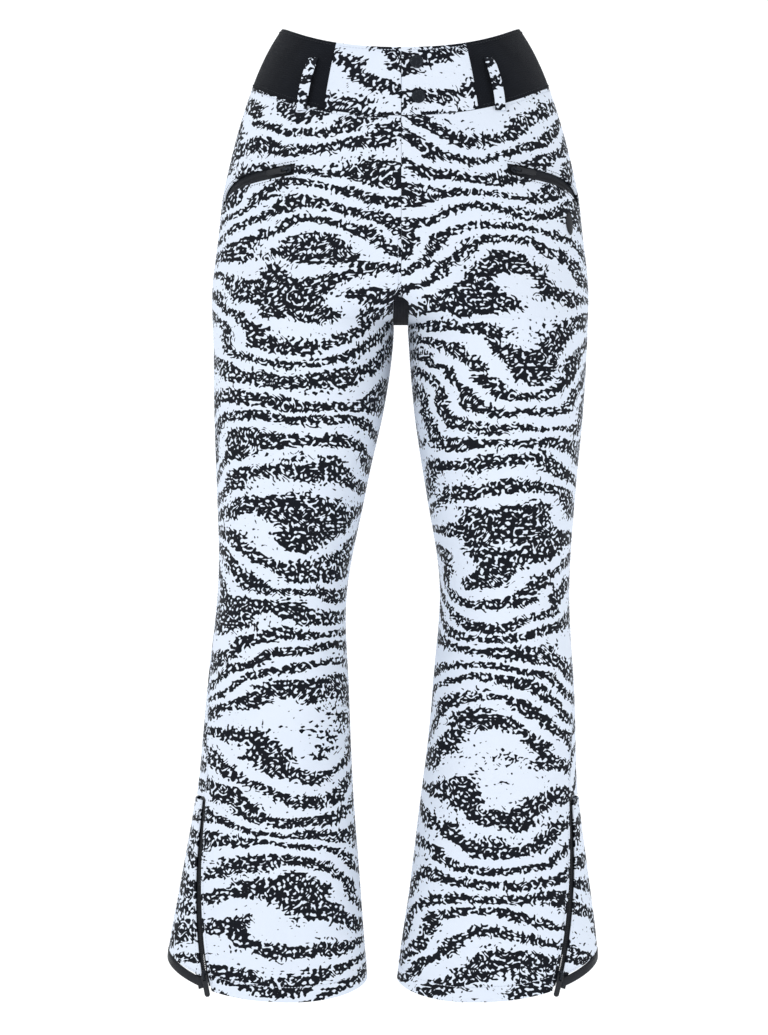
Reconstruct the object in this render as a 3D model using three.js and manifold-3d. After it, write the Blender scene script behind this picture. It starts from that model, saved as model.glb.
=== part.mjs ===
// Flared, high-waisted ski pants, modelled as they stand when worn.
//
// Millimetres, +Z up. The front of the pants faces -Y and the wearer's left is +X.
// The origin is the middle of the waist opening. Every cloth piece is a thin closed
// slab laid on one shared body surface, "skin", so neighbouring pieces always line up.
import * as THREE from "three";
import { mergeVertices } from "three/addons/utils/BufferGeometryUtils.js";
import Module from "manifold-3d";

const wasm = await Module();
wasm.setup();

// ---------- driving sizes ----------
const RISE = 297; // origin down to the underside of the crotch
const INSEAM = 703; // crotch down to the hem
const SHIN = 410; // knee down to the hem
const LEG_ZIP_LENGTH = 197;
const FLARE = 25; // how far the hem reaches outside the start of the leg zip
const CLOTH = 1.6; // shell cloth
const THIN = 1.0; // tapes, facings and linings
const YOKE_GAP = 0.5; // panels stop this far below the waistband seam
const GAP = 0.3; // between neighbouring edges and small stacked pieces
const LAYER = 1.25; // between curved layers, so that their flat facets clear each other
const CROTCH_WIDTH = 17; // between the two inseams at the crotch
const BAND_HEIGHT = 63; // waistband at the side
const BAND_EXTRA = 9; // waistband is this much taller at the front
const SIDE_LIFT = 20; // waist edge at the side, above the origin
const FRONT_DIP = 33; // waist edge drops this much from side to front
const BACK_DIP = 4;
const LEG_LEAN = 20; // both legs stand a little towards the wearer's right

const CROTCH = -RISE;
const HEM = CROTCH - INSEAM;
const KNEE = HEM + SHIN;
const ZIP_TOP = HEM + LEG_ZIP_LENGTH;
const HIP = CROTCH + 97;
const FULL_HIP = CROTCH + 38;
const BAND = -70; // nominal height of the waistband seam

const HALF_CROTCH = CROTCH_WIDTH / 2;

// ---------- the body surface ----------
// Reach from the middle line to the outside and inside of a leg, and depth to the
// front and back, at the heights where the outline changes.
const STATIONS = [
  { z: HEM - 60, outer: 213 + FLARE, inner: 10, front: 62, back: 71 },
  { z: HEM, outer: 205 + FLARE + 4, inner: 16, front: 62, back: 70 },
  { z: ZIP_TOP - 95, outer: 205 + FLARE * 0.56, inner: 28, front: 66, back: 71 },
  { z: ZIP_TOP, outer: 205, inner: 37, front: 68, back: 72 },
  { z: KNEE - 100, outer: 196.5, inner: 47, front: 71, back: 72 },
  { z: KNEE + 5, outer: 188.5, inner: 51, front: 75, back: 73 },
  { z: CROTCH - 178, outer: 193, inner: 33, front: 87, back: 87 },
  { z: CROTCH - 92, outer: 198, inner: 17, front: 97, back: 99 },
  { z: CROTCH - 12, outer: 201, inner: HALF_CROTCH + 0.4, front: 104, back: 111 },
  { z: FULL_HIP, outer: 202, inner: HALF_CROTCH, front: 107, back: 120 },
  { z: HIP + 5, outer: 195.5, inner: HALF_CROTCH, front: 108, back: 122 },
  { z: HIP + 49, outer: 190, inner: HALF_CROTCH, front: 107, back: 120 },
  { z: -67, outer: 168.5, inner: HALF_CROTCH, front: 101, back: 108 },
  { z: -9, outer: 145, inner: HALF_CROTCH, front: 96, back: 100 },
  { z: 40, outer: 116, inner: HALF_CROTCH, front: 88, back: 90 },
];
const ROUNDNESS = 2.2; // 2 is an ellipse, more is squarer
const CLEFT = 1.3; // how quickly the two legs join above the crotch
const JOIN_HEIGHT = 92; // height over which they join

const clamp = (value, low, high) => Math.min(high, Math.max(low, value));
const mix = (a, b, share) => a + (b - a) * share;
const smooth = (value) => {
  const t = clamp(value, 0, 1);
  return t * t * (3 - 2 * t);
};
const radians = (degrees) => (degrees * Math.PI) / 180;
const signedPower = (value, power) => Math.sign(value) * Math.abs(value) ** power;

// Cubic through the stations, so the outline has no corners.
function outline(key, z) {
  const last = STATIONS.length - 1;
  const height = clamp(z, STATIONS[0].z, STATIONS[last].z);
  let i = 0;
  while (i < last - 1 && STATIONS[i + 1].z < height) i++;
  const slope = (k) => {
    const below = STATIONS[Math.max(k - 1, 0)];
    const above = STATIONS[Math.min(k + 1, last)];
    return (above[key] - below[key]) / (above.z - below.z);
  };
  const a = STATIONS[i];
  const b = STATIONS[i + 1];
  const run = b.z - a.z;
  const t = (height - a.z) / run;
  const bend = t * t * (3 - 2 * t);
  const start = t * (1 - t) * (1 - t) * run * slope(i);
  const end = t * t * (1 - t) * run * slope(i + 1);
  return mix(a[key], b[key], bend) + start - end;
}

function section(z) {
  const outer = outline("outer", z);
  const joined = Math.sin(clamp((z - CROTCH) / JOIN_HEIGHT, 0, 1) * Math.PI * 0.5) ** CLEFT;
  const inner = mix(outline("inner", z), -outer, joined);
  return {
    middle: (outer + inner) / 2,
    half: (outer - inner) / 2,
    front: outline("front", z),
    back: outline("back", z),
  };
}

const LEAN_START = CROTCH - 20;
const lean = (z) => -LEG_LEAN * clamp((LEAN_START - z) / (LEAN_START - HEM), 0, 2);

// angle: 0 at the outside of the leg, 90 degrees at the front, 180 at the inside.
function surface(side, angle, z) {
  const at = section(z);
  const across = signedPower(Math.cos(angle), 2 / ROUNDNESS);
  const forward = signedPower(Math.sin(angle), 2 / ROUNDNESS);
  const depth = forward > 0 ? at.front : at.back;
  return new THREE.Vector3(lean(z) + side * (at.middle + at.half * across), -depth * forward, z);
}

function outward(side, angle, z) {
  const step = 0.02;
  const around = surface(side, angle + step, z).sub(surface(side, angle - step, z));
  const up = surface(side, angle, z + 1).sub(surface(side, angle, z - 1));
  return around.cross(up).multiplyScalar(-side).normalize();
}

// A point on the body, raised along its normal by depth (negative is inside).
function skin(side, angle, z, depth = 0) {
  return surface(side, angle, z).addScaledVector(outward(side, angle, z), depth);
}

// Angle that a distance along the cloth takes up.
function turn(side, angle, z, distance) {
  const step = 0.01;
  const length = surface(side, angle + step, z).distanceTo(surface(side, angle - step, z));
  return (distance * 2 * step) / length;
}

// ---------- seam lines ----------
const waistTop = (angle) => {
  const forward = Math.sin(angle);
  return SIDE_LIFT - (forward > 0 ? FRONT_DIP : BACK_DIP) * forward * forward;
};
const bandSeam = (angle) =>
  waistTop(angle) - BAND_HEIGHT - BAND_EXTRA * Math.max(Math.sin(angle), 0) ** 2;
const hemLine = (angle) =>
  HEM + 5 + 11 * Math.cos(angle) - 16 * Math.sin(angle) + 6 * Math.cos(2 * angle);

// Half the space between the two front (or back) panels: closed above, open over the crotch.
const GUSSET_TOP = CROTCH + 26;
const GUSSET_SHOULDER = CROTCH + 18;
const gussetTaper = (z) => smooth((z - GUSSET_SHOULDER) / (GUSSET_TOP - GUSSET_SHOULDER));
const middleGap = (z) => mix(HALF_CROTCH, GAP / 2, gussetTaper(z));

// Angle at which a panel meets the middle line, or the inseam below the crotch.
function middleAngle(z) {
  if (z <= CROTCH) return Math.PI;
  const at = section(z);
  const share = clamp((middleGap(z) - at.middle) / at.half, -1, 1);
  return Math.acos(signedPower(share, ROUNDNESS / 2));
}

// The side seam runs down the outside of the leg and turns forward into the leg zip.
const ZIP_TOP_ANGLE = 28;
const ZIP_TURN = 30;
function sideSeam(z) {
  const start = KNEE + 30;
  if (z > ZIP_TOP) return radians(ZIP_TOP_ANGLE) * smooth((start - z) / (start - ZIP_TOP));
  return radians(ZIP_TOP_ANGLE + ZIP_TURN * ((ZIP_TOP - z) / LEG_ZIP_LENGTH) ** 1.3);
}
const GUSSET_REAR = radians(-32);

// ---------- cloth heights ----------
const spread = (from, to, count) =>
  Array.from({ length: count + 1 }, (_, i) => mix(from, to, i / count));
const NOTCH = 3; // height over which a panel steps back for the leg zip
const CROTCH_ROWS = [0, 1.5, 5, 11, 18, 22, GUSSET_TOP - CROTCH];
const ROWS = [
  ...spread(HEM, ZIP_TOP - NOTCH, 4),
  ...spread(ZIP_TOP, KNEE, 4),
  ...spread(KNEE, CROTCH - 14, 6).slice(1),
  ...CROTCH_ROWS.map((rise) => CROTCH + rise),
  ...spread(CROTCH + 45, HIP, 2),
  ...spread(HIP, BAND, 3).slice(1),
];
const HEM_BLEND = ZIP_TOP - 70;

// The lowest rows follow the hem, raised by lift, and the highest the waistband seam.
function rowHeight(nominal, angle, lift = 0) {
  if (nominal > HIP) {
    return mix(HIP, bandSeam(angle) - YOKE_GAP, (nominal - HIP) / (BAND - HIP));
  }
  if (nominal < HEM_BLEND) {
    return mix(HEM_BLEND, hemLine(angle) + lift, (HEM_BLEND - nominal) / (HEM_BLEND - HEM));
  }
  return nominal;
}

// The side seam's angle on a row, once the row has followed the hem.
function seamOnRow(nominal, lift = 0) {
  let angle = sideSeam(nominal);
  for (let i = 0; i < 3; i++) angle = sideSeam(rowHeight(nominal, angle, lift));
  return angle;
}

// ---------- making solids ----------
// Welds the corners, makes the faces point out and adds smooth normals.
function closed(geometry) {
  geometry.deleteAttribute("normal");
  geometry.deleteAttribute("uv");
  const solid = mergeVertices(geometry, 1e-4);
  const spot = solid.attributes.position;
  const index = solid.index;
  const a = new THREE.Vector3();
  const b = new THREE.Vector3();
  const c = new THREE.Vector3();
  let volume = 0;
  for (let i = 0; i < index.count; i += 3) {
    a.fromBufferAttribute(spot, index.getX(i));
    b.fromBufferAttribute(spot, index.getX(i + 1));
    c.fromBufferAttribute(spot, index.getX(i + 2));
    volume += a.dot(b.cross(c));
  }
  if (volume < 0) {
    for (let i = 0; i < index.count; i += 3) {
      const first = index.getX(i);
      index.setX(i, index.getX(i + 1));
      index.setX(i + 1, first);
    }
  }
  solid.computeVertexNormals();
  return solid;
}

// A thin box whose corners are laid where place(u, row, outer) says.
function slab(columns, rows, place) {
  const box = new THREE.BoxGeometry(1, 1, 1, columns, rows, 1);
  const spot = box.attributes.position;
  for (let i = 0; i < spot.count; i++) {
    const u = spot.getX(i) + 0.5;
    const row = Math.round((spot.getY(i) + 0.5) * rows);
    const point = place(u, row, spot.getZ(i) > 0);
    spot.setXYZ(i, point.x, point.y, point.z);
  }
  return closed(box);
}

function toManifold(geometry) {
  const mesh = new wasm.Mesh({
    numProp: 3,
    vertProperties: new Float32Array(geometry.attributes.position.array),
    triVerts: new Uint32Array(geometry.index.array),
  });
  return new wasm.Manifold(mesh);
}

function fromManifold(solid) {
  const mesh = solid.getMesh();
  const geometry = new THREE.BufferGeometry();
  geometry.setAttribute("position", new THREE.BufferAttribute(mesh.vertProperties, 3));
  geometry.setIndex(new THREE.BufferAttribute(mesh.triVerts, 1));
  geometry.computeVertexNormals();
  return geometry;
}

const cut = (body, ...tools) =>
  fromManifold(tools.reduce((left, tool) => left.subtract(toManifold(tool)), toManifold(body)));
const keep = (body, tool) => fromManifold(toManifold(body).intersect(toManifold(tool)));
const join = (...parts) =>
  fromManifold(parts.map(toManifold).reduce((whole, part) => whole.add(part)));

const pants = new THREE.Group();
function add(name, geometry, look) {
  const mesh = new THREE.Mesh(geometry, new THREE.MeshStandardMaterial(look));
  mesh.name = name;
  pants.add(mesh);
  return mesh;
}

const PRINT = { color: 0xe4ecf8, roughness: 0.8, metalness: 0 };
const STRETCH = { color: 0x1a1f2a, roughness: 0.85, metalness: 0 };
const LINING = { color: 0x2a2e36, roughness: 0.9, metalness: 0 };
const COATED = { color: 0x14161c, roughness: 0.5, metalness: 0 };
const METAL = { color: 0x2c3034, roughness: 0.45, metalness: 0.8 };
const MOULDED = { color: 0x16181c, roughness: 0.6, metalness: 0 };

const SIDES = [
  { name: "right", side: -1 },
  { name: "left", side: 1 },
];

// ---------- leg panels ----------
const LEG_SLIT = 4.2; // half the width of zip that shows
const BINDING_HEIGHT = 10;
const BINDING_LIFT = BINDING_HEIGHT + GAP * 3;
const COLUMNS = 11;

function panel(side, rear) {
  const sign = rear ? -1 : 1;
  const lift = rear ? BINDING_LIFT : 0;
  return slab(COLUMNS, ROWS.length - 1, (u, row, outer) => {
    const nominal = ROWS[row];
    const inZip = nominal < ZIP_TOP;
    const seam = rear && inZip ? GUSSET_REAR : seamOnRow(nominal);
    const stop = inZip && !rear ? LEG_SLIT : GAP;
    const edge = seam + sign * turn(side, seam, nominal, stop);
    const short = nominal > CROTCH ? 0 : turn(side, Math.PI, nominal, GAP / 2);
    const angle = mix(sign * (middleAngle(nominal) - short), edge, u);
    return skin(side, angle, rowHeight(nominal, angle, lift), outer ? 0 : -CLOTH);
  });
}

// Strip of stretch cloth that runs front to back between the legs.
const GUSSET_STRIP = [GUSSET_SHOULDER + 4, GUSSET_SHOULDER, CROTCH + 11, CROTCH + 5, CROTCH + 1.5];
function crotchGusset() {
  const front = GUSSET_STRIP.map((z) => ({ z, sign: 1 }));
  const rear = [...GUSSET_STRIP].reverse().map((z) => ({ z, sign: -1 }));
  const steps = [...front, { z: CROTCH, sign: 1 }, ...rear];
  return slab(2, steps.length - 1, (u, row, outer) => {
    const { z, sign } = steps[row];
    const edge = skin(1, sign * middleAngle(z), z, outer ? 0 : -CLOTH);
    const middle = lean(z);
    const half = middleGap(z) - GAP * 1.5;
    const height = z === CROTCH && outer ? CROTCH : edge.z;
    return new THREE.Vector3(middle + half * (2 * u - 1), edge.y, height);
  });
}

// ---------- flared gusset behind each leg zip ----------
const GUSSET_ROWS = spread(HEM, ZIP_TOP - NOTCH - 1, 4);
const GUSSET_PROUD = 1.2;

function flareGusset(side) {
  return slab(7, GUSSET_ROWS.length - 1, (u, row, outer) => {
    const nominal = GUSSET_ROWS[row];
    const zip = seamOnRow(nominal, BINDING_LIFT);
    const front = zip - turn(side, zip, nominal, LEG_SLIT);
    const rear = GUSSET_REAR + turn(side, GUSSET_REAR, nominal, GAP / 2);
    const angle = mix(rear, front, u);
    const proud = GUSSET_PROUD * Math.sin(Math.PI * clamp(u, 0, 1)) ** 0.5;
    const height = rowHeight(nominal, angle, BINDING_LIFT);
    return skin(side, angle, height, proud - (outer ? 0 : CLOTH));
  });
}

// Folded tape along the bottom of the gusset and the rear panel.
const BINDING_PROUD = 1.5;
const BINDING_END = radians(-168);
function hemBinding(side) {
  return slab(16, 1, (u, row, outer) => {
    const lift = BINDING_HEIGHT * row;
    const zip = seamOnRow(HEM, lift);
    const start = zip - turn(side, zip, HEM, LEG_SLIT + GAP * 2);
    const angle = mix(BINDING_END, start, u);
    return skin(side, angle, hemLine(angle) + lift, outer ? BINDING_PROUD : -CLOTH);
  });
}

// ---------- zips ----------
// A zip follows a path on the cloth: path(t) gives its angle and height.
const LEG_ZIP_STOP = 5; // the zip's path starts this far above the opening
const legZip = (t) => {
  const z = mix(ZIP_TOP + LEG_ZIP_STOP, hemLine(seamOnRow(HEM)), t);
  return { angle: sideSeam(Math.min(z, ZIP_TOP)), z };
};

const POCKET_INNER = radians(57);
const POCKET_OUTER = radians(9);
const POCKET_HEIGHT = -139;
const pocketZip = (t) => ({
  angle: mix(POCKET_INNER, POCKET_OUTER, t),
  z: POCKET_HEIGHT - 16 * t - 15 * Math.max(t, 0) ** 6,
});

// The point that lies a distance across the path, and a depth off the cloth.
function offPath(side, path, t, distance, depth) {
  const here = path(t);
  const before = path(t - 0.01);
  const after = path(t + 0.01);
  const perRadian = 1 / turn(side, here.angle, here.z, 1);
  const along = new THREE.Vector2((after.angle - before.angle) * perRadian, after.z - before.z);
  along.normalize();
  const angle = here.angle - (along.y * distance) / perRadian;
  return skin(side, angle, here.z + along.x * distance, depth);
}

// A strip between two distances across the path.
function pathStrip(side, path, from, to, near, far, top, bottom, columns) {
  return slab(columns, 1, (u, row, outer) => {
    const distance = row ? far : near;
    return offPath(side, path, mix(from, to, u), distance, outer ? top : bottom);
  });
}

const TAPE_TOP = -CLOTH - LAYER;
const TEETH_GAP = 0.2;

// Where a zip's slider stands: on the cloth, x along the zip, z outward.
function zipFrame(side, path, t) {
  const origin = offPath(side, path, t, 0, 0);
  const ahead = offPath(side, path, t + 0.02, 0, 0);
  const here = path(t);
  const normal = outward(side, here.angle, here.z);
  const along = ahead.sub(origin).normalize();
  const across = normal.clone().cross(along).normalize();
  const out = along.clone().cross(across);
  const matrix = new THREE.Matrix4().makeBasis(along, across, out).setPosition(origin);
  return { origin, across, out, matrix };
}

const SLIDER = {
  length: 12,
  width: 7,
  plate: 1.6,
  keel: 2.4,
  bridgeLength: 7,
  bridgeWidth: 2.4,
  opening: 1.9,
  openingLength: 4,
  roof: 1.1,
  lift: 0.3,
};
const PULL = { bar: 1.2, arm: 2, length: 22, width: 6 };
const PLATE_TOP = SLIDER.lift + SLIDER.plate;
const PIN_HEIGHT = PLATE_TOP + SLIDER.opening / 2;

const block = (low, high) =>
  closed(
    new THREE.BoxGeometry(high[0] - low[0], high[1] - low[1], high[2] - low[2]).translate(
      (high[0] + low[0]) / 2,
      (high[1] + low[1]) / 2,
      (high[2] + low[2]) / 2,
    ),
  );

function rectangle(left, bottom, right, top) {
  return new THREE.Shape([
    new THREE.Vector2(left, bottom),
    new THREE.Vector2(right, bottom),
    new THREE.Vector2(right, top),
    new THREE.Vector2(left, top),
  ]);
}

// Body of a zip slider: a plate with a tapered nose, a keel between the tapes where
// there is room for one, and a bridge that holds the pull.
function sliderBody(withKeel) {
  const half = SLIDER.length / 2;
  const side = SLIDER.width / 2;
  const nose = side * 0.6;
  const plate = new THREE.Shape([
    new THREE.Vector2(-half, -nose),
    new THREE.Vector2(-half * 0.3, -side),
    new THREE.Vector2(half * 0.6, -side),
    new THREE.Vector2(half, -nose),
    new THREE.Vector2(half, nose),
    new THREE.Vector2(half * 0.6, side),
    new THREE.Vector2(-half * 0.3, side),
    new THREE.Vector2(-half, nose),
  ]);
  const body = new THREE.ExtrudeGeometry(plate, { depth: SLIDER.plate, bevelEnabled: false });
  body.translate(0, 0, SLIDER.lift);
  const foot = PLATE_TOP - 0.3;
  const roof = PLATE_TOP + SLIDER.opening;
  const bridge = rectangle(-SLIDER.bridgeLength / 2, foot, SLIDER.bridgeLength / 2, roof + SLIDER.roof);
  const hole = rectangle(-SLIDER.openingLength / 2, PLATE_TOP - 0.1, SLIDER.openingLength / 2, roof);
  bridge.holes.push(hole);
  const arch = new THREE.ExtrudeGeometry(bridge, { depth: SLIDER.bridgeWidth, bevelEnabled: false });
  arch.rotateX(Math.PI / 2).translate(0, SLIDER.bridgeWidth / 2, 0);
  const parts = [closed(body), closed(arch)];
  if (withKeel) {
    const keelHalf = SLIDER.keel / 2;
    parts.push(block([-4, -keelHalf, TAPE_TOP + GAP], [4, keelHalf, PLATE_TOP - 0.5]));
  }
  return join(...parts);
}

function pullTab(length) {
  const half = PULL.bar / 2;
  const slot = SLIDER.bridgeWidth / 2 + 0.4;
  const arm = slot + PULL.arm;
  const slotEnd = SLIDER.bridgeLength / 2 + 1.7;
  const outline = new THREE.Shape([
    new THREE.Vector2(-half, -arm),
    new THREE.Vector2(slotEnd, -arm),
    new THREE.Vector2(slotEnd + 3, -PULL.width / 2),
    new THREE.Vector2(length - 2, -PULL.width / 2),
    new THREE.Vector2(length, -PULL.width / 4),
    new THREE.Vector2(length, PULL.width / 4),
    new THREE.Vector2(length - 2, PULL.width / 2),
    new THREE.Vector2(slotEnd + 3, PULL.width / 2),
    new THREE.Vector2(slotEnd, arm),
    new THREE.Vector2(-half, arm),
  ]);
  outline.holes.push(rectangle(half, -slot, slotEnd, slot));
  const tab = new THREE.ExtrudeGeometry(outline, { depth: PULL.bar, bevelEnabled: false });
  return closed(tab.translate(0, 0, PIN_HEIGHT - half));
}

// The circle through three points: the far hinge that a slider turns about.
function arcThrough(start, middle, end) {
  const toMiddle = middle.clone().sub(start);
  const toEnd = end.clone().sub(start);
  const axis = toMiddle.clone().cross(toEnd);
  const area = axis.lengthSq();
  const a = axis.clone().cross(toMiddle).multiplyScalar(toEnd.lengthSq());
  const b = toEnd.clone().cross(axis).multiplyScalar(toMiddle.lengthSq());
  const centre = a.add(b).multiplyScalar(1 / (2 * area)).add(start);
  axis.normalize();
  const from = start.clone().sub(centre);
  const to = end.clone().sub(centre);
  const sweep = Math.atan2(from.clone().cross(to).dot(axis), from.dot(to));
  return { pos: centre, axis, range: [0, THREE.MathUtils.radToDeg(sweep)] };
}

// ---------- front closure ----------
const FOLD_TOP_X = 62; // the closure folds back along a line from here at the waist
const FOLD_BOTTOM = -228; // to here on the middle line
const COVER_END = -200; // lowest point of the folding cover
const COVER_EDGE = 1.2; // the cover stops this far short of the middle line
const foldX = (z) => (FOLD_TOP_X * (z - FOLD_BOTTOM)) / -FOLD_BOTTOM;
const foldAlong = new THREE.Vector3(FOLD_TOP_X, 0, -FOLD_BOTTOM).normalize();

// A block that holds everything that folds back with the cover, less a margin.
function foldingSide(margin) {
  const away = new THREE.Vector3(-foldAlong.z, 0, foldAlong.x);
  const depth = new THREE.Vector3().crossVectors(foldAlong, away);
  const size = 600;
  const box = new THREE.BoxGeometry(size, size, size);
  box.applyMatrix4(new THREE.Matrix4().makeBasis(away, depth.negate(), foldAlong));
  const centre = new THREE.Vector3(0, 0, FOLD_BOTTOM).addScaledVector(away, size / 2 + margin);
  const half = closed(box.translate(centre.x, centre.y, centre.z));
  return keep(half, block([-size, -size, COVER_END + margin], [size, size, size]));
}

// A point on the front of the belly, by its distance from the middle line.
function belly(x, z, depth) {
  const reach = section(z).half;
  const angle = Math.acos(signedPower(x / reach, ROUNDNESS / 2));
  return skin(1, angle, z, depth);
}

const FLY_SPACE = 3; // room for the slider between the cover and the tapes
const FLY_TAPE = TAPE_TOP - FLY_SPACE;
const UNDERLAP = FLY_TAPE - THIN * 0.8 - GAP * 1.5;
const FLY_CENTRE = 3;
const FLY_TOP = -92;
const FLY_END = -183;

// Strip of the front between two distances from the middle, depth given for each x.
function bellyStrip(left, right, low, high, depth, thickness, columns, rows) {
  return slab(columns, rows, (u, row, outer) => {
    const x = mix(left, right, u);
    return belly(x, mix(low(x), high(x), row / rows), depth(x) - (outer ? 0 : thickness));
  });
}

const frontAngle = (x, z) => Math.acos(signedPower(x / section(z).half, ROUNDNESS / 2));
const underlapDepth = (x) => mix(TAPE_TOP, UNDERLAP, smooth((x + 16) / 8));
const flyTapeDepth = (x) => mix(FLY_TAPE, TAPE_TOP, smooth((x - 7) / 3.5));

// ---------- waistband ----------
const STRETCH_FRONT = radians(64);
const STRETCH_BACK = radians(-64);
function band(from, to, columns, side = 1) {
  return slab(columns, 2, (u, row, outer) => {
    const angle = mix(from, to, u);
    const z = mix(bandSeam(angle) + GAP / 2, waistTop(angle), row / 2);
    return skin(side, angle, z, outer ? 0 : -CLOTH);
  });
}
const bandGap = turn(1, STRETCH_FRONT, BAND, GAP / 2);
const middleShort = turn(1, Math.PI / 2, BAND, GAP / 2);

// A strip sewn down at both ends and standing off between them.
const LOOP_WIDTH = 11.5;
const LOOP_RISE = 5.2;
const LOOP_CLOTH = 1.4;
const LOOP_DROP = 20; // below the waist edge
const LOOP_BELOW = 7; // below the waistband seam
function beltLoop(side, angle) {
  const rows = 8;
  return slab(1, rows, (u, row, outer) => {
    const share = row / rows;
    const z = mix(bandSeam(angle) - LOOP_BELOW, waistTop(angle) - LOOP_DROP, share);
    const here = angle + turn(side, angle, z, (u - 0.5) * LOOP_WIDTH);
    const rise = GAP + LOOP_RISE * Math.sin(Math.PI * share) ** 0.6;
    return skin(side, here, z, rise + (outer ? LOOP_CLOTH : 0));
  });
}

// A closed sleeve round one leg.
function sleeve(columns, rows, place) {
  const profile = [];
  for (let row = 0; row <= rows; row++) profile.push(new THREE.Vector2(2, row));
  for (let row = rows; row >= 0; row--) profile.push(new THREE.Vector2(1, row));
  profile.push(profile[0].clone());
  const ring = new THREE.LatheGeometry(profile, columns);
  const spot = ring.attributes.position;
  for (let i = 0; i < spot.count; i++) {
    const radius = Math.hypot(spot.getX(i), spot.getZ(i));
    const angle = Math.atan2(spot.getX(i), spot.getZ(i));
    const point = place(angle, Math.round(spot.getY(i)), radius > 1.5);
    spot.setXYZ(i, point.x, point.y, point.z);
  }
  return closed(ring);
}

// ---------- snow gaiters inside the legs ----------
const GAITER_TOP = ZIP_TOP + 28;
const GAITER_END = HEM + 28;
const GAITER_TAPER = 20; // how far the gaiter stands in from the leg
const CUFF_HEIGHT = 12;
const CUFF_THICK = 2;
const gaiterDepth = (z) => TAPE_TOP - GAITER_TAPER * smooth((GAITER_TOP - z) / 75);
const gaiterSpot = (side, angle, z, depth) => skin(side, angle, z, gaiterDepth(z) + depth);

function gaiter(side) {
  const rows = 5;
  return sleeve(20, rows, (angle, row, outer) => {
    const z = mix(GAITER_END, GAITER_TOP, row / rows);
    return gaiterSpot(side, angle, z, outer ? 0 : -THIN);
  });
}

function gaiterCuff(side) {
  return sleeve(20, 1, (angle, row, outer) => {
    const z = GAITER_END + CUFF_HEIGHT * row;
    return gaiterSpot(side, angle, z, GAP + (outer ? CUFF_THICK : 0));
  });
}

// ---------- snaps ----------
const SNAPS = [
  { name: "upper", x: 16, z: -28.7 },
  { name: "lower", x: 18, z: -65.5 },
];
const POST = 1.8;
const POST_HOLE = POST + 0.4;

// Turns a profile about the outward line through a spot on the belly.
function turned(profile, x, z, segments = 18) {
  const points = profile.map(([radius, height]) => new THREE.Vector2(radius, height));
  const lathe = new THREE.LatheGeometry(points, segments).rotateX(Math.PI / 2);
  const normal = outward(1, frontAngle(x, z), z);
  const pose = new THREE.Quaternion().setFromUnitVectors(new THREE.Vector3(0, 0, 1), normal);
  const centre = belly(x, z, 0);
  lathe.applyQuaternion(pose).translate(centre.x, centre.y, centre.z);
  return closed(lathe);
}

const capProfile = [
  [0, -CLOTH - 0.1],
  [POST, -CLOTH - 0.1],
  [POST, GAP],
  [7, GAP],
  [7, 0.9],
  [5.6, 1.9],
  [3, 2.3],
  [0, 2.4],
];
const SOCKET_DEPTH = 2.5;
const SOCKET_HOLE = 2.5;
const socketProfile = [
  [SOCKET_HOLE, TAPE_TOP],
  [5.5, TAPE_TOP],
  [5.5, TAPE_TOP - SOCKET_DEPTH],
  [SOCKET_HOLE, TAPE_TOP - SOCKET_DEPTH],
  [SOCKET_HOLE, TAPE_TOP],
];
const studProfile = [
  [0, UNDERLAP + GAP],
  [5, UNDERLAP + GAP],
  [5, UNDERLAP + GAP + 0.7],
  [SOCKET_HOLE - 0.5, UNDERLAP + GAP + 0.7],
  [SOCKET_HOLE - 0.5, TAPE_TOP - 1],
  [0, TAPE_TOP - 1],
];
const postHole = [
  [0, -8],
  [POST_HOLE, -8],
  [POST_HOLE, 8],
  [0, 8],
];

// ---------- assembly ----------
const joints = {};
const POCKET_SLIT = 6; // half the width of zip that shows in a pocket
const CUT = 6; // cutting shapes reach this far past the cloth
const POCKET_TAPE = 13;
const LEG_TAPE = 10;
// The leg zip's tapes start just under the notch in the rear panel.
const LEG_TAPE_START = (LEG_ZIP_STOP + NOTCH + GAP) / (LEG_ZIP_STOP + LEG_ZIP_LENGTH);
const LEG_TAPE_END = 0.985;

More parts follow.
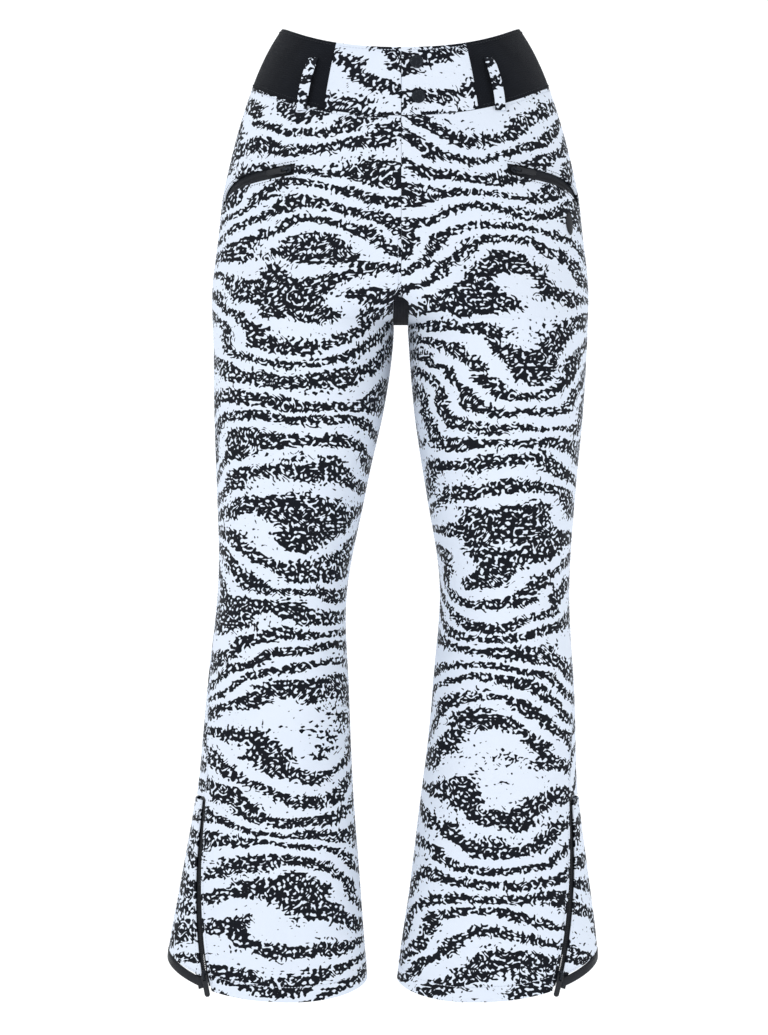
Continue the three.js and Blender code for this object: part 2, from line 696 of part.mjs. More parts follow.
for (const { name, side } of SIDES) {
  // Pocket: an opening in the front panel, filled by the two halves of its zip.
  const opening = pathStrip(side, pocketZip, 0.03, 0.97, -POCKET_SLIT, POCKET_SLIT, CUT, -CUT, 9);
  const front = cut(panel(side, false), opening);
  if (side > 0) {
    const holes = SNAPS.map(({ x, z }) => turned(postHole, x, z));
    const frontBand = band(STRETCH_FRONT + bandGap, Math.PI / 2 - middleShort, 5);
    add("front_panel_left", cut(front, foldingSide(-GAP / 2)), PRINT);
    const edge = block([-9, -300, -300], [COVER_EDGE, 0, 100]);
    add("fly_cover", cut(keep(front, foldingSide(GAP / 2)), edge), PRINT);
    add("waistband_front_left", cut(frontBand, foldingSide(-GAP / 2)), PRINT);
    add("waistband_tab", cut(keep(frontBand, foldingSide(GAP / 2)), ...holes), PRINT);
  } else {
    add("front_panel_right", front, PRINT);
    const end = Math.PI / 2 - middleShort;
    add("waistband_front_right", band(STRETCH_FRONT + bandGap, end, 5, -1), PRINT);
  }
  add(`back_panel_${name}`, panel(side, true), PRINT);
  add(`flare_gusset_${name}`, flareGusset(side), PRINT);
  add(`hem_binding_${name}`, hemBinding(side), COATED);
  add(`side_waist_panel_${name}`, band(STRETCH_BACK + bandGap, STRETCH_FRONT - bandGap, 10, side), STRETCH);
  add(`belt_loop_front_${name}`, beltLoop(side, radians(55)), PRINT);
  add(`belt_loop_rear_${name}`, beltLoop(side, radians(-50)), PRINT);

  const tapeBottom = TAPE_TOP - THIN;
  const tape = (path, from, to, near, far, columns) =>
    pathStrip(side, path, from, to, near, far, TAPE_TOP, tapeBottom, columns);
  add(`pocket_zip_tape_upper_${name}`, tape(pocketZip, -0.04, 1.04, -TEETH_GAP, -POCKET_TAPE, 9), COATED);
  add(`pocket_zip_tape_lower_${name}`, tape(pocketZip, -0.04, 1.04, TEETH_GAP, POCKET_TAPE, 9), COATED);
  add(`leg_zip_tape_front_${name}`, tape(legZip, LEG_TAPE_START, LEG_TAPE_END, TEETH_GAP, LEG_TAPE, 6), COATED);
  add(`leg_zip_tape_rear_${name}`, tape(legZip, LEG_TAPE_START, LEG_TAPE_END, -TEETH_GAP, -LEG_TAPE, 6), COATED);

  const zips = [
    { zip: "pocket", path: pocketZip, start: 0.1, end: 0.88, raise: [1.2, 1] },
    { zip: "leg", path: legZip, start: 0.93, end: 0.1, raise: [1.5, 2.6] },
  ];
  for (const { zip, path, start, end, raise } of zips) {
    const frame = zipFrame(side, path, start);
    add(`${zip}_slider_${name}`, sliderBody(true).applyMatrix4(frame.matrix), METAL);
    add(`${zip}_pull_${name}`, pullTab(PULL.length).applyMatrix4(frame.matrix), MOULDED);
    const middle = offPath(side, path, (start + end) / 2, 0, raise[0]);
    const far = offPath(side, path, end, 0, raise[1]);
    joints[`${zip}_zip_${name}`] = arcThrough(frame.origin, middle, far);
    const pin = frame.origin.clone().addScaledVector(frame.out, PIN_HEIGHT);
    joints[`${zip}_pull_flip_${name}`] = { pos: pin, axis: frame.across.clone().negate() };
  }

  // Pocket bag, hanging behind its zip.
  const bagRows = 5;
  const bag = slab(5, bagRows, (u, row, outer) => {
    const angle = radians(mix(20, 55, u));
    const z = mix(POCKET_HEIGHT - 130, POCKET_HEIGHT - 6, row / bagRows);
    const depth = row === bagRows ? tapeBottom - GAP : tapeBottom - 3;
    return skin(side, angle, z, depth - (outer ? 0 : 2.4));
  });
  add(`pocket_bag_${name}`, bag, LINING);
  add(`snow_gaiter_${name}`, gaiter(side), LINING);
  add(`gaiter_cuff_${name}`, gaiterCuff(side), MOULDED);
}

add("crotch_gusset", crotchGusset(), STRETCH);
add("waistband_back", band(STRETCH_BACK - bandGap, -Math.PI - STRETCH_BACK + bandGap, 8), PRINT);
add("belt_loop_back", beltLoop(1, radians(-90)), PRINT);

// Facing that lines the waistband from one side of the closure round to the other.
const FACING_START = radians(61);
const FACING_END = radians(-256);
const facing = slab(36, 1, (u, row, outer) => {
  const angle = mix(FACING_END, FACING_START, u);
  const z = row ? waistTop(angle) - 2 : bandSeam(angle) - 5;
  return skin(1, angle, z, TAPE_TOP - (outer ? 0 : THIN));
});
add("waistband_facing", facing, LINING);

const hanger = slab(1, 8, (u, row, outer) => {
  const angle = radians(-90);
  const z = mix(-42, waistTop(angle) - 5, row / 8);
  const here = angle + turn(1, angle, z, (u - 0.5) * 10);
  const stand = 5 * Math.sin((Math.PI * row) / 8) ** 0.6;
  return skin(1, here, z, TAPE_TOP - THIN - GAP * 3 - stand - (outer ? 0 : THIN));
});
add("hanger_loop", hanger, LINING);

// Fly: underlap and the right tape stay on the body, the left tape goes with the cover.
const top = (x) => waistTop(frontAngle(x, 0)) - 3;
add("fly_underlap", bellyStrip(-30, 32, () => FLY_END - 12, top, underlapDepth, THIN, 12, 5), PRINT);
const tapeLow = () => FLY_END;
const tapeHigh = () => FLY_TOP;
const flyTape = (left, right, columns) =>
  bellyStrip(left, right, tapeLow, tapeHigh, flyTapeDepth, THIN * 0.8, columns, 3);
add("fly_zip_tape_right", flyTape(-5, FLY_CENTRE - TEETH_GAP, 1), COATED);
add("fly_zip_tape_left", flyTape(FLY_CENTRE + TEETH_GAP, 11.3, 5), COATED);

const FLY_SCALE = 0.5;
const flyLift = FLY_TAPE + GAP * 1.5;
const flyRest = belly(FLY_CENTRE, FLY_TOP - 8, flyLift);
const flyFar = belly(FLY_CENTRE, FLY_END + 8, flyLift);
const flyAlong = flyFar.clone().sub(flyRest);
const flyTravel = flyAlong.length();
flyAlong.normalize();
const flyAcross = new THREE.Vector3(0, -1, 0).cross(flyAlong).normalize();
const flyOut = flyAlong.clone().cross(flyAcross);
const flyPose = new THREE.Matrix4().makeBasis(flyAlong, flyAcross, flyOut);
flyPose.scale(new THREE.Vector3(FLY_SCALE, FLY_SCALE, FLY_SCALE)).setPosition(flyRest);
add("fly_slider", sliderBody(false).applyMatrix4(flyPose), METAL);
add("fly_pull", pullTab(PULL.length + 8).applyMatrix4(flyPose), METAL);
joints.fly_zip = { axis: flyAlong, travel: flyTravel };

for (const { name, x, z } of SNAPS) {
  add(`snap_cap_${name}`, turned(capProfile, x, z), METAL);
  add(`snap_socket_${name}`, turned(socketProfile, x, z), METAL);
  add(`snap_stud_${name}`, turned(studProfile, x, z), METAL);
}

// The closure's hinge lies just outside the cloth all the way up its fold line.
const FOLD_CLEAR = 0.6;
const foldSpots = spread(FOLD_BOTTOM + 10, -10, 10).map((z) => belly(foldX(z), z, 0));
const foldStart = foldSpots[0].clone();
const foldAxis = foldSpots[10].clone().sub(foldStart).normalize();
const foldBulge = Math.max(
  ...foldSpots.map((spot) => {
    const share = (spot.z - foldStart.z) / foldAxis.z;
    return foldStart.y + foldAxis.y * share - spot.y;
  }),
);
foldStart.y -= foldBulge + FOLD_CLEAR;
joints.closure = { pos: foldStart, axis: foldAxis };

// Plain raised tab on the left hip.
const BADGE_Z = -193;
const BADGE_ANGLE = radians(25);
const badge = slab(1, 8, (u, row, outer) => {
  const share = row / 8;
  const half = 1 + 5 * Math.sin(Math.PI * share) ** 0.6;
  const z = BADGE_Z + 24 * (share - 0.5);
  const angle = BADGE_ANGLE + turn(1, BADGE_ANGLE, z, (2 * u - 1) * half);
  return skin(1, angle, z, GAP + (outer ? 0.7 : 0));
});
add("hip_tab", badge, MOULDED);

pants.userData.joints = joints;
export default pants;
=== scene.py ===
# %% [markdown]
# # Ski trousers, from a measured frame to finished cloth
#
# The frame holds one solid for every piece of the trousers, in metres, at the right
# place and with its joints. It says where things are. This lesson makes what you see:
# the thin shell cloth with its print, the waistband, the zips, the snaps, the lining
# and the stitching. Each piece is laid on the same body surface as its solid, so
# nothing has to be fitted afterwards.

import math

import bmesh
import bpy
import numpy as np
from mathutils import Matrix, Vector


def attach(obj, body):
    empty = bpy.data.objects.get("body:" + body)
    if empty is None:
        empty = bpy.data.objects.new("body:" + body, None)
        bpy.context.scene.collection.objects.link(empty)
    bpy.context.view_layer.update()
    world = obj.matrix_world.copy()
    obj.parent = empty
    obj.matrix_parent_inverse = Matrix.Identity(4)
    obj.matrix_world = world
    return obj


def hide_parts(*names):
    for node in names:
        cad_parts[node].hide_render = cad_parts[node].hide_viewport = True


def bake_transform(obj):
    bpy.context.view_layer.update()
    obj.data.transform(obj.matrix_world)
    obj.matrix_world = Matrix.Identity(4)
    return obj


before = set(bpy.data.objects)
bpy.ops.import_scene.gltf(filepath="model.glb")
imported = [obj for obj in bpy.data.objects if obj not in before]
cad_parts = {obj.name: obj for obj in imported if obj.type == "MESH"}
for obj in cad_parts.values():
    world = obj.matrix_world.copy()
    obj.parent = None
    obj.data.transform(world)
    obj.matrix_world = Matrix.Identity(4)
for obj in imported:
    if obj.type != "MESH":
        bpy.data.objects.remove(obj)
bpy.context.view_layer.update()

# %% [markdown]
# ## Camera and studio
#
# Clothes are shown straight on, from far enough away that the legs don't splay. A
# camera three metres away at half the height of the trousers does that. The studio is
# one sheet that runs down a wall and out over the floor in a curve, so no line shows
# where they meet. Big soft lights leave the shading to the cloth.

# %% Camera
camera_data = bpy.data.cameras.new("camera")
camera_data.sensor_fit = "VERTICAL"
camera_data.sensor_height = 36
CAMERA_DISTANCE = 3.0
VIEW_HEIGHT = 1.118
camera_data.lens = 36 * CAMERA_DISTANCE / VIEW_HEIGHT
camera = bpy.data.objects.new("camera", camera_data)
camera.location = (-0.018, -CAMERA_DISTANCE, -0.505)
camera.rotation_euler = (math.pi / 2, 0, 0)
bpy.context.scene.collection.objects.link(camera)
bpy.context.scene.camera = camera
print("camera: lens", round(camera_data.lens, 1), "mm")


# %% Backdrop
def studio_sheet():
    bm = bmesh.new()
    floor, wall, radius = -1.19, 2.4, 0.9
    start = bm.verts.new((-4, -4.5, floor))
    line = [start, bm.verts.new((-4, wall - radius, floor))]
    for step in range(1, 13):
        turn_by = math.pi / 2 * step / 12
        line.append(
            bm.verts.new(
                (-4, wall - radius + radius * math.sin(turn_by), floor + radius * (1 - math.cos(turn_by)))
            )
        )
    line.append(bm.verts.new((-4, wall, 3.5)))
    edges = [bm.edges.new(pair) for pair in zip(line, line[1:])]
    out = bmesh.ops.extrude_edge_only(bm, edges=edges)["geom"]
    bmesh.ops.translate(bm, verts=[g for g in out if isinstance(g, bmesh.types.BMVert)], vec=(8, 0, 0))
    bm.normal_update()
    if sum(f.normal.z for f in bm.faces) < 0:
        bmesh.ops.reverse_faces(bm, faces=bm.faces[:])
    mesh = bpy.data.meshes.new("backdrop")
    bm.to_mesh(mesh)
    bm.free()
    mesh.shade_smooth()
    sheet = bpy.data.objects.new("backdrop", mesh)
    bpy.context.scene.collection.objects.link(sheet)
    return sheet


backdrop = studio_sheet()


# %% Lights
def soft_light(name, place, look_at, size, power):
    data = bpy.data.lights.new(name, "AREA")
    data.shape = "RECTANGLE"
    data.size, data.size_y = size
    data.energy = power
    lamp = bpy.data.objects.new(name, data)
    lamp.location = place
    lamp.rotation_euler = (Vector(look_at) - Vector(place)).to_track_quat("-Z", "Y").to_euler()
    bpy.context.scene.collection.objects.link(lamp)


soft_light("key", (-1.9, -2.2, 0.9), (0, 0, -0.45), (1.3, 1.8), 22)
soft_light("fill", (2.3, -1.6, 0.1), (0, 0, -0.5), (1.2, 2.0), 9)
soft_light("top", (0.0, 0.2, 1.9), (0, 0, -0.4), (1.8, 1.2), 12)
world = bpy.data.worlds.new("studio")
world.use_nodes = True
world.node_tree.nodes["Background"].inputs["Color"].default_value = (0.97, 0.985, 1.0, 1)
world.node_tree.nodes["Background"].inputs["Strength"].default_value = 0.72
bpy.context.scene.world = world
bpy.context.scene.view_settings.view_transform = "Standard"
print("studio: one sheet, three soft lights")

# %% [markdown]
# ## The body surface
#
# Trousers are cut from flat cloth, but worn they are two tubes that join at the hips.
# They could be modelled by hand, or draped on a figure. Here one formula gives every
# point of the surface from three things: which leg, the angle round it, and the
# height. Panels, bands, zips and stitches all ask it where they lie, so they meet
# edge to edge. Sizes in this part are in millimetres, as on a pattern.

# %% Pattern sizes
RISE = 297
INSEAM = 703
CROTCH = -RISE
HEM = CROTCH - INSEAM
KNEE = HEM + 410
ZIP_TOP = HEM + 197
HIP = CROTCH + 97
BAND = -70
HALF_CROTCH = 8.5
FLARE = 25
CLOTH = 1.6
THIN = 1.0
GAP = 0.3
YOKE_GAP = 0.5
LAYER = 1.25
MM = 0.001

# height, reach outside, reach inside, depth in front, depth behind
STATIONS = np.array(
    [
        (HEM - 60, 213 + FLARE, 10, 62, 71),
        (HEM, 209 + FLARE, 16, 62, 70),
        (ZIP_TOP - 95, 205 + FLARE * 0.56, 28, 66, 71),
        (ZIP_TOP, 205, 37, 68, 72),
        (KNEE - 100, 196.5, 47, 71, 72),
        (KNEE + 5, 188.5, 51, 75, 73),
        (CROTCH - 178, 193, 33, 87, 87),
        (CROTCH - 92, 198, 17, 97, 99),
        (CROTCH - 12, 201, HALF_CROTCH + 0.4, 104, 111),
        (CROTCH + 38, 202, HALF_CROTCH, 107, 120),
        (HIP + 5, 195.5, HALF_CROTCH, 108, 122),
        (HIP + 49, 190, HALF_CROTCH, 107, 120),
        (-67, 168.5, HALF_CROTCH, 101, 108),
        (-9, 145, HALF_CROTCH, 96, 100),
        (40, 116, HALF_CROTCH, 88, 90),
    ],
    float,
)


# %% Outline and cross-section
def mix(a, b, share):
    return a + (b - a) * share


def smooth(value):
    t = np.clip(value, 0, 1)
    return t * t * (3 - 2 * t)


def signed_power(value, power):
    return np.sign(value) * np.abs(value) ** power


def outline(column, z):
    """One column of the table at any height, as a cubic with no corners."""
    heights, values = STATIONS[:, 0], STATIONS[:, column]
    last = len(heights) - 1
    z = np.clip(z, heights[0], heights[-1])
    i = np.clip(np.searchsorted(heights, z, side="left") - 1, 0, last - 1)
    below = np.maximum(np.arange(last + 1) - 1, 0)
    above = np.minimum(np.arange(last + 1) + 1, last)
    slope = (values[above] - values[below]) / (heights[above] - heights[below])
    run = heights[i + 1] - heights[i]
    t = (z - heights[i]) / run
    curve = mix(values[i], values[i + 1], t * t * (3 - 2 * t))
    return curve + t * (1 - t) ** 2 * run * slope[i] - t * t * (1 - t) * run * slope[i + 1]


def section(z):
    """Middle and half width of one leg's cross-section, and its depths."""
    outer = outline(1, z)
    joined = np.sin(np.clip((z - CROTCH) / 92, 0, 1) * math.pi / 2) ** 1.3
    inner = mix(outline(2, z), -outer, joined)
    return (outer + inner) / 2, (outer - inner) / 2, outline(3, z), outline(4, z)


ROUNDNESS = 2.2
LEAN = 20


def lean(z):
    start = CROTCH - 20
    return -LEAN * np.clip((start - z) / (start - HEM), 0, 2)


# %% Points on the surface
def surface(side, angle, z):
    angle, z = np.broadcast_arrays(np.asarray(angle, float), np.asarray(z, float))
    middle, half, front, back = section(z)
    across = signed_power(np.cos(angle), 2 / ROUNDNESS)
    forward = signed_power(np.sin(angle), 2 / ROUNDNESS)
    depth = np.where(forward > 0, front, back)
    return np.stack([lean(z) + side * (middle + half * across), -depth * forward, z], -1)


def outward(side, angle, z):
    around = surface(side, angle + 0.02, z) - surface(side, angle - 0.02, z)
    up = surface(side, angle, np.asarray(z) + 1.0) - surface(side, angle, np.asarray(z) - 1.0)
    normal = np.cross(around, up) * -side
    return normal / np.linalg.norm(normal, axis=-1, keepdims=True)


def skin(side, angle, z, depth=0.0):
    """Points on the body, raised along the surface's normal by depth."""
    depth = np.asarray(depth, float)
    return surface(side, angle, z) + outward(side, angle, z) * depth[..., None]


def turn(side, angle, z, distance):
    """The angle that a distance along the cloth takes up."""
    span = surface(side, angle + 0.01, z) - surface(side, angle - 0.01, z)
    return distance * 0.02 / np.linalg.norm(span, axis=-1)


def around_cloth(side, angle, z):
    """Distance along the cloth from the outside of the leg to an angle."""
    total = np.zeros(np.broadcast(angle, z).shape)
    before = surface(side, angle * 0.0, z)
    for step in range(1, 25):
        here = surface(side, angle * step / 24, z)
        total += np.linalg.norm(here - before, axis=-1)
        before = here
    return total * np.sign(angle)


print("waist edge at the side:", surface(1, 0.0, 20.0).round(1), "mm")


# %% Seam lines
def waist_top(angle):
    forward = np.sin(angle)
    return 20 - np.where(forward > 0, 33, 4) * forward * forward


def band_seam(angle):
    return waist_top(angle) - 63 - 9 * np.maximum(np.sin(angle), 0) ** 2


def hem_line(angle):
    return HEM + 5 + 11 * np.cos(angle) - 16 * np.sin(angle) + 6 * np.cos(2 * angle)


def middle_gap(z):
    return mix(HALF_CROTCH, GAP / 2, smooth((z - CROTCH - 18) / 8))


def middle_angle(z):
    """Where a panel meets the middle line, or the inseam below the crotch."""
    middle, half, _, _ = section(z)
    share = np.clip((middle_gap(z) - middle) / half, -1, 1)
    return np.where(z <= CROTCH, math.pi, np.arccos(signed_power(share, ROUNDNESS / 2)))


def side_seam(z):
    above = math.radians(28) * smooth((KNEE + 30 - z) / (KNEE + 30 - ZIP_TOP))
    below = np.radians(28 + 30 * (np.maximum(ZIP_TOP - z, 0) / 197) ** 1.3)
    return np.where(z > ZIP_TOP, above, below)


def row_height(nominal, angle, lift=0.0):
    """The lowest rows of a panel follow the hem, and the highest the waistband."""
    top = mix(HIP, band_seam(angle) - YOKE_GAP, (nominal - HIP) / (BAND - HIP))
    blend = ZIP_TOP - 70
    low = mix(blend, hem_line(angle) + lift, (blend - nominal) / (blend - HEM))
    return np.where(nominal > HIP, top, np.where(nominal < blend, low, nominal))


def seam_on_row(nominal, lift=0.0):
    angle = side_seam(nominal)
    for _ in range(3):
        angle = side_seam(row_height(nominal, angle, lift))
    return angle


# %% [markdown]
# ## Slack in the cloth
#
# Worn cloth is never a perfect tube. It could be simulated, but the trousers are shown
# filled out and still, so the real folds are long and shallow. A few slow waves, only
# ever outwards, give that. They fade out where a zip, a snap or a band holds the cloth.


# %% Slack
def slack(side, angle, z):
    """How far the loose cloth stands out, in millimetres."""
    along = 0.5 + 0.5 * np.sin(z / 47 + 1.7 * np.sin(2 * angle + side) + 1.9 * side)
    round_leg = 0.5 + 0.5 * np.sin(4 * angle + z / 83 + 2.3 * side)
    slant = 0.5 + 0.5 * np.sin(3 * angle - z / 29 + side)
    wave = 1.5 * along * round_leg + 0.7 * slant
    free = smooth((-200 - z) / 60) * smooth((z - HEM - 8) / 60)
    zip_side = np.abs(angle - math.radians(40)) / math.radians(30)
    near_zip = smooth((ZIP_TOP + 60 - z) / 40) * smooth(1.6 - zip_side)
    return wave * free * (1 - near_zip)


# %% [markdown]
# ## Finishes
#
# Every finish is built from small nodes, in real millimetres, so that it is right at
# any distance. Cloth reads the piece's own UV map, which is flat cloth measured in
# metres, so a weave follows the cloth round the leg. Hard parts read their place.

# %% Node helpers
PALE_INK = (0.80, 0.865, 0.965, 1)
DARK_INK = (0.003, 0.004, 0.007, 1)


def maths(tree, operation, *values, limit=False):
    node = tree.nodes.new("ShaderNodeMath")
    node.operation = operation
    node.use_clamp = limit
    for socket, value in zip(node.inputs, values):
        if isinstance(value, (int, float)):
            socket.default_value = value
        else:
            tree.links.new(value, socket)
    return node.outputs[0]


def point(tree, x, y, z=0.0):
    node = tree.nodes.new("ShaderNodeCombineXYZ")
    for socket, value in zip(node.inputs, (x, y, z)):
        if isinstance(value, (int, float)):
            socket.default_value = value
        else:
            tree.links.new(value, socket)
    return node.outputs[0]


def noise(tree, where, detail=0.0, rough=0.5, twist=0.0, scale=1.0):
    node = tree.nodes.new("ShaderNodeTexNoise")
    tree.links.new(where, node.inputs["Vector"])
    node.inputs["Scale"].default_value = scale
    node.inputs["Detail"].default_value = detail
    node.inputs["Roughness"].default_value = rough
    node.inputs["Distortion"].default_value = twist
    return node.outputs[0]


def flat_cloth(tree):
    """The two flat-cloth coordinates of a piece, in metres."""
    uv = tree.nodes.new("ShaderNodeUVMap")
    uv.uv_map = "cloth"
    split = tree.nodes.new("ShaderNodeSeparateXYZ")
    tree.links.new(uv.outputs[0], split.inputs[0])
    return split.outputs[0], split.outputs[1]


def scaled(tree, x, y, per_x, per_y, layer=0.0):
    return point(tree, maths(tree, "MULTIPLY", x, per_x), maths(tree, "MULTIPLY", y, per_y), layer)


def blend_colours(tree, share, first, second):
    node = tree.nodes.new("ShaderNodeMix")
    node.data_type = "RGBA"
    tree.links.new(share, node.inputs["Factor"])
    for name, colour in (("A", first), ("B", second)):
        socket = next(s for s in node.inputs if s.name == name and s.type == "RGBA")
        if isinstance(colour, tuple):
            socket.default_value = colour
        else:
            tree.links.new(colour, socket)
    return next(s for s in node.outputs if s.type == "RGBA")


def raise_by(tree, height, distance, strength, under=None):
    node = tree.nodes.new("ShaderNodeBump")
    node.inputs["Strength"].default_value = strength
    node.inputs["Distance"].default_value = distance
    tree.links.new(height, node.inputs["Height"])
    if under is not None:
        tree.links.new(under, node.inputs["Normal"])
    return node.outputs[0]


def new_finish(name, colour, roughness, sheen=0.0, metallic=0.0, shine=0.3):
    material = bpy.data.materials.new(name)
    material.use_nodes = True
    shader = material.node_tree.nodes["Principled BSDF"]
    shader.inputs["Base Color"].default_value = colour
    shader.inputs["Roughness"].default_value = roughness
    shader.inputs["Metallic"].default_value = metallic
    shader.inputs["Sheen Weight"].default_value = sheen
    shader.inputs["Sheen Roughness"].default_value = 0.5
    shader.inputs["Specular IOR Level"].default_value = shine
    return material, material.node_tree, shader


def weave(tree, x, y, per_metre):
    """Over-and-under threads of a plain weave."""
    warp = maths(tree, "SINE", maths(tree, "MULTIPLY", x, math.pi * per_metre))
    weft = maths(tree, "SINE", maths(tree, "MULTIPLY", y, math.pi * per_metre))
    return maths(tree, "MULTIPLY", warp, weft)


# %% [markdown]
# ### The printed shell
#
# The shell is a pale coated weave with a dark animal-skin print. The print is bands
# that flow round the leg and swell into eye shapes, and inside each band there are
# short curled strokes. It could be painted, but a formula has no edge and no repeat.
# A slow wave gives the bands, noise bends and tapers them, and the contour lines of a
# finer noise draw the strokes. The bands only decide how much ink is let through.


# %% Printed shell
BAND_PITCH = 0.030  # metres from one dark band to the next
EYE_ACROSS, EYE_UP = 0.30, 0.243  # metres from one eye shape to the next
WEAVE_PER_METRE = 1100.0


def printed_shell():
    material, tree, shader = new_finish("printed_shell", PALE_INK, 0.66, shine=0.1)
    x, y = flat_cloth(tree)
    slow = noise(tree, scaled(tree, x, y, 5.0, 8.0, 3.7), 1.0)
    ripple = noise(tree, scaled(tree, x, y, 11.0, 30.0, 9.1), 2.0)
    eyes = maths(
        tree,
        "MULTIPLY",
        maths(tree, "COSINE", maths(tree, "MULTIPLY", x, 2 * math.pi / EYE_ACROSS)),
        maths(tree, "SINE", maths(tree, "MULTIPLY", y, 2 * math.pi / EYE_UP)),
    )
    field = maths(tree, "MULTIPLY", y, 1 / BAND_PITCH)
    field = maths(tree, "MULTIPLY_ADD", eyes, 0.95, field)
    field = maths(tree, "MULTIPLY_ADD", maths(tree, "SUBTRACT", slow, 0.5), 4.0, field)
    field = maths(tree, "MULTIPLY_ADD", maths(tree, "SUBTRACT", ripple, 0.5), 1.6, field)
    bands = maths(tree, "SINE", maths(tree, "MULTIPLY", field, 2 * math.pi))
    taper = noise(tree, scaled(tree, x, y, 11.0, 46.0, 21.0), 1.0)
    bands = maths(tree, "MULTIPLY_ADD", maths(tree, "SUBTRACT", taper, 0.5), 2.6, bands)
    level = maths(tree, "MULTIPLY", bands, 0.30)
    level = maths(tree, "MAXIMUM", maths(tree, "MINIMUM", level, 0.075), -0.5)
    bend = noise(tree, scaled(tree, x, y, 76.0, 84.0, 1.0))
    curls = maths(tree, "SINE", maths(tree, "MULTIPLY", bend, 2 * math.pi * 6.5))
    grain = noise(tree, scaled(tree, x, y, 215.0, 235.0, 5.0), 0.5, 0.4, 0.2)
    strokes = maths(tree, "MULTIPLY", maths(tree, "SUBTRACT", grain, 0.5), 0.95)
    strokes = maths(tree, "MULTIPLY_ADD", curls, 0.10, strokes)
    ink = maths(tree, "ADD", strokes, maths(tree, "ADD", level, 0.03))
    ink = maths(tree, "MULTIPLY_ADD", ink, 26.0, 0.5, limit=True)
    patchy = noise(tree, scaled(tree, x, y, 9.0, 9.0, 40.0), 3.0)
    cloud = blend_colours(tree, patchy, (0.735, 0.805, 0.920, 1), (0.80, 0.86, 0.955, 1))
    worn = noise(tree, scaled(tree, x, y, 700.0, 700.0, 60.0), 1.0)
    dark = blend_colours(tree, worn, DARK_INK, (0.008, 0.010, 0.016, 1))
    tree.links.new(blend_colours(tree, ink, cloud, dark), shader.inputs["Base Color"])
    gloss = maths(tree, "MULTIPLY_ADD", ink, -0.08, 0.66)
    tree.links.new(gloss, shader.inputs["Roughness"])
    folds = noise(tree, scaled(tree, x, y, 17.0, 9.0, 2.0), 2.0, 0.45)
    soft = raise_by(tree, folds, 0.006, 0.55)
    threads = raise_by(tree, weave(tree, x, y, WEAVE_PER_METRE), 0.00012, 0.6, soft)
    tree.links.new(threads, shader.inputs["Normal"])
    return material


# %% [markdown]
# ### Stretch cloth, lining, tape, thread
#
# The side panels are a ribbed knit that stretches round the waist. The lining is a
# dull fine weave. Zip tape and hem tape are coated, so they shine a little. The four
# share a recipe: a dark colour that varies slightly, and threads at their own pitch.


# %% Dark cloths
def stretch_cloth():
    material, tree, shader = new_finish(
        "stretch_cloth", (0.009, 0.012, 0.019, 1), 0.85, sheen=0.04, shine=0.12
    )
    x, y = flat_cloth(tree)
    uneven = noise(tree, scaled(tree, x, y, 30.0, 30.0), 4.0)
    tree.links.new(
        blend_colours(tree, uneven, (0.003, 0.004, 0.007, 1), (0.008, 0.010, 0.015, 1)),
        shader.inputs["Base Color"],
    )
    rib = maths(tree, "SINE", maths(tree, "MULTIPLY", x, 2 * math.pi * 620.0))
    stitch = maths(tree, "SINE", maths(tree, "MULTIPLY", y, 2 * math.pi * 480.0))
    knit = maths(tree, "MULTIPLY_ADD", stitch, 0.4, rib)
    folds = raise_by(tree, noise(tree, scaled(tree, x, y, 22.0, 22.0), 2.0), 0.004, 0.5)
    tree.links.new(raise_by(tree, knit, 0.0003, 0.7, folds), shader.inputs["Normal"])
    return material


def plain_weave(name, dark, light, roughness, threads, depth, sheen=0.0):
    material, tree, shader = new_finish(name, light, roughness, sheen=sheen, shine=0.2)
    x, y = flat_cloth(tree)
    uneven = noise(tree, scaled(tree, x, y, 60.0, 60.0), 4.0)
    tree.links.new(blend_colours(tree, uneven, dark, light), shader.inputs["Base Color"])
    rough = maths(tree, "MULTIPLY_ADD", uneven, 0.18, roughness - 0.09)
    tree.links.new(rough, shader.inputs["Roughness"])
    folds = raise_by(tree, noise(tree, scaled(tree, x, y, 25.0, 25.0), 2.0), 0.003, 0.4)
    tree.links.new(raise_by(tree, weave(tree, x, y, threads), depth, 0.6, folds), shader.inputs["Normal"])
    return material


# %% Hard parts and thread
def placed(tree):
    return tree.nodes.new("ShaderNodeTexCoord").outputs["Object"]


def dark_metal():
    material, tree, shader = new_finish("dark_metal", (0.035, 0.04, 0.048, 1), 0.4, metallic=0.85)
    spot = placed(tree)
    wear = noise(tree, spot, 5.0, 0.6, scale=420.0)
    rubbed = maths(tree, "MULTIPLY_ADD", wear, 6.0, -3.3, limit=True)
    tree.links.new(
        blend_colours(tree, rubbed, (0.022, 0.026, 0.033, 1), (0.075, 0.085, 0.10, 1)),
        shader.inputs["Base Color"],
    )
    tree.links.new(maths(tree, "MULTIPLY_ADD", wear, 0.3, 0.27), shader.inputs["Roughness"])
    tree.links.new(raise_by(tree, wear, 0.00008, 0.4), shader.inputs["Normal"])
    return material


def moulded(name, dark, light, roughness):
    material, tree, shader = new_finish(name, light, roughness)
    spot = placed(tree)
    grain = noise(tree, spot, 3.0, 0.6, scale=900.0)
    tree.links.new(blend_colours(tree, grain, dark, light), shader.inputs["Base Color"])
    tree.links.new(maths(tree, "MULTIPLY_ADD", grain, 0.2, roughness - 0.1), shader.inputs["Roughness"])
    tree.links.new(raise_by(tree, grain, 0.0001, 0.5), shader.inputs["Normal"])
    return material


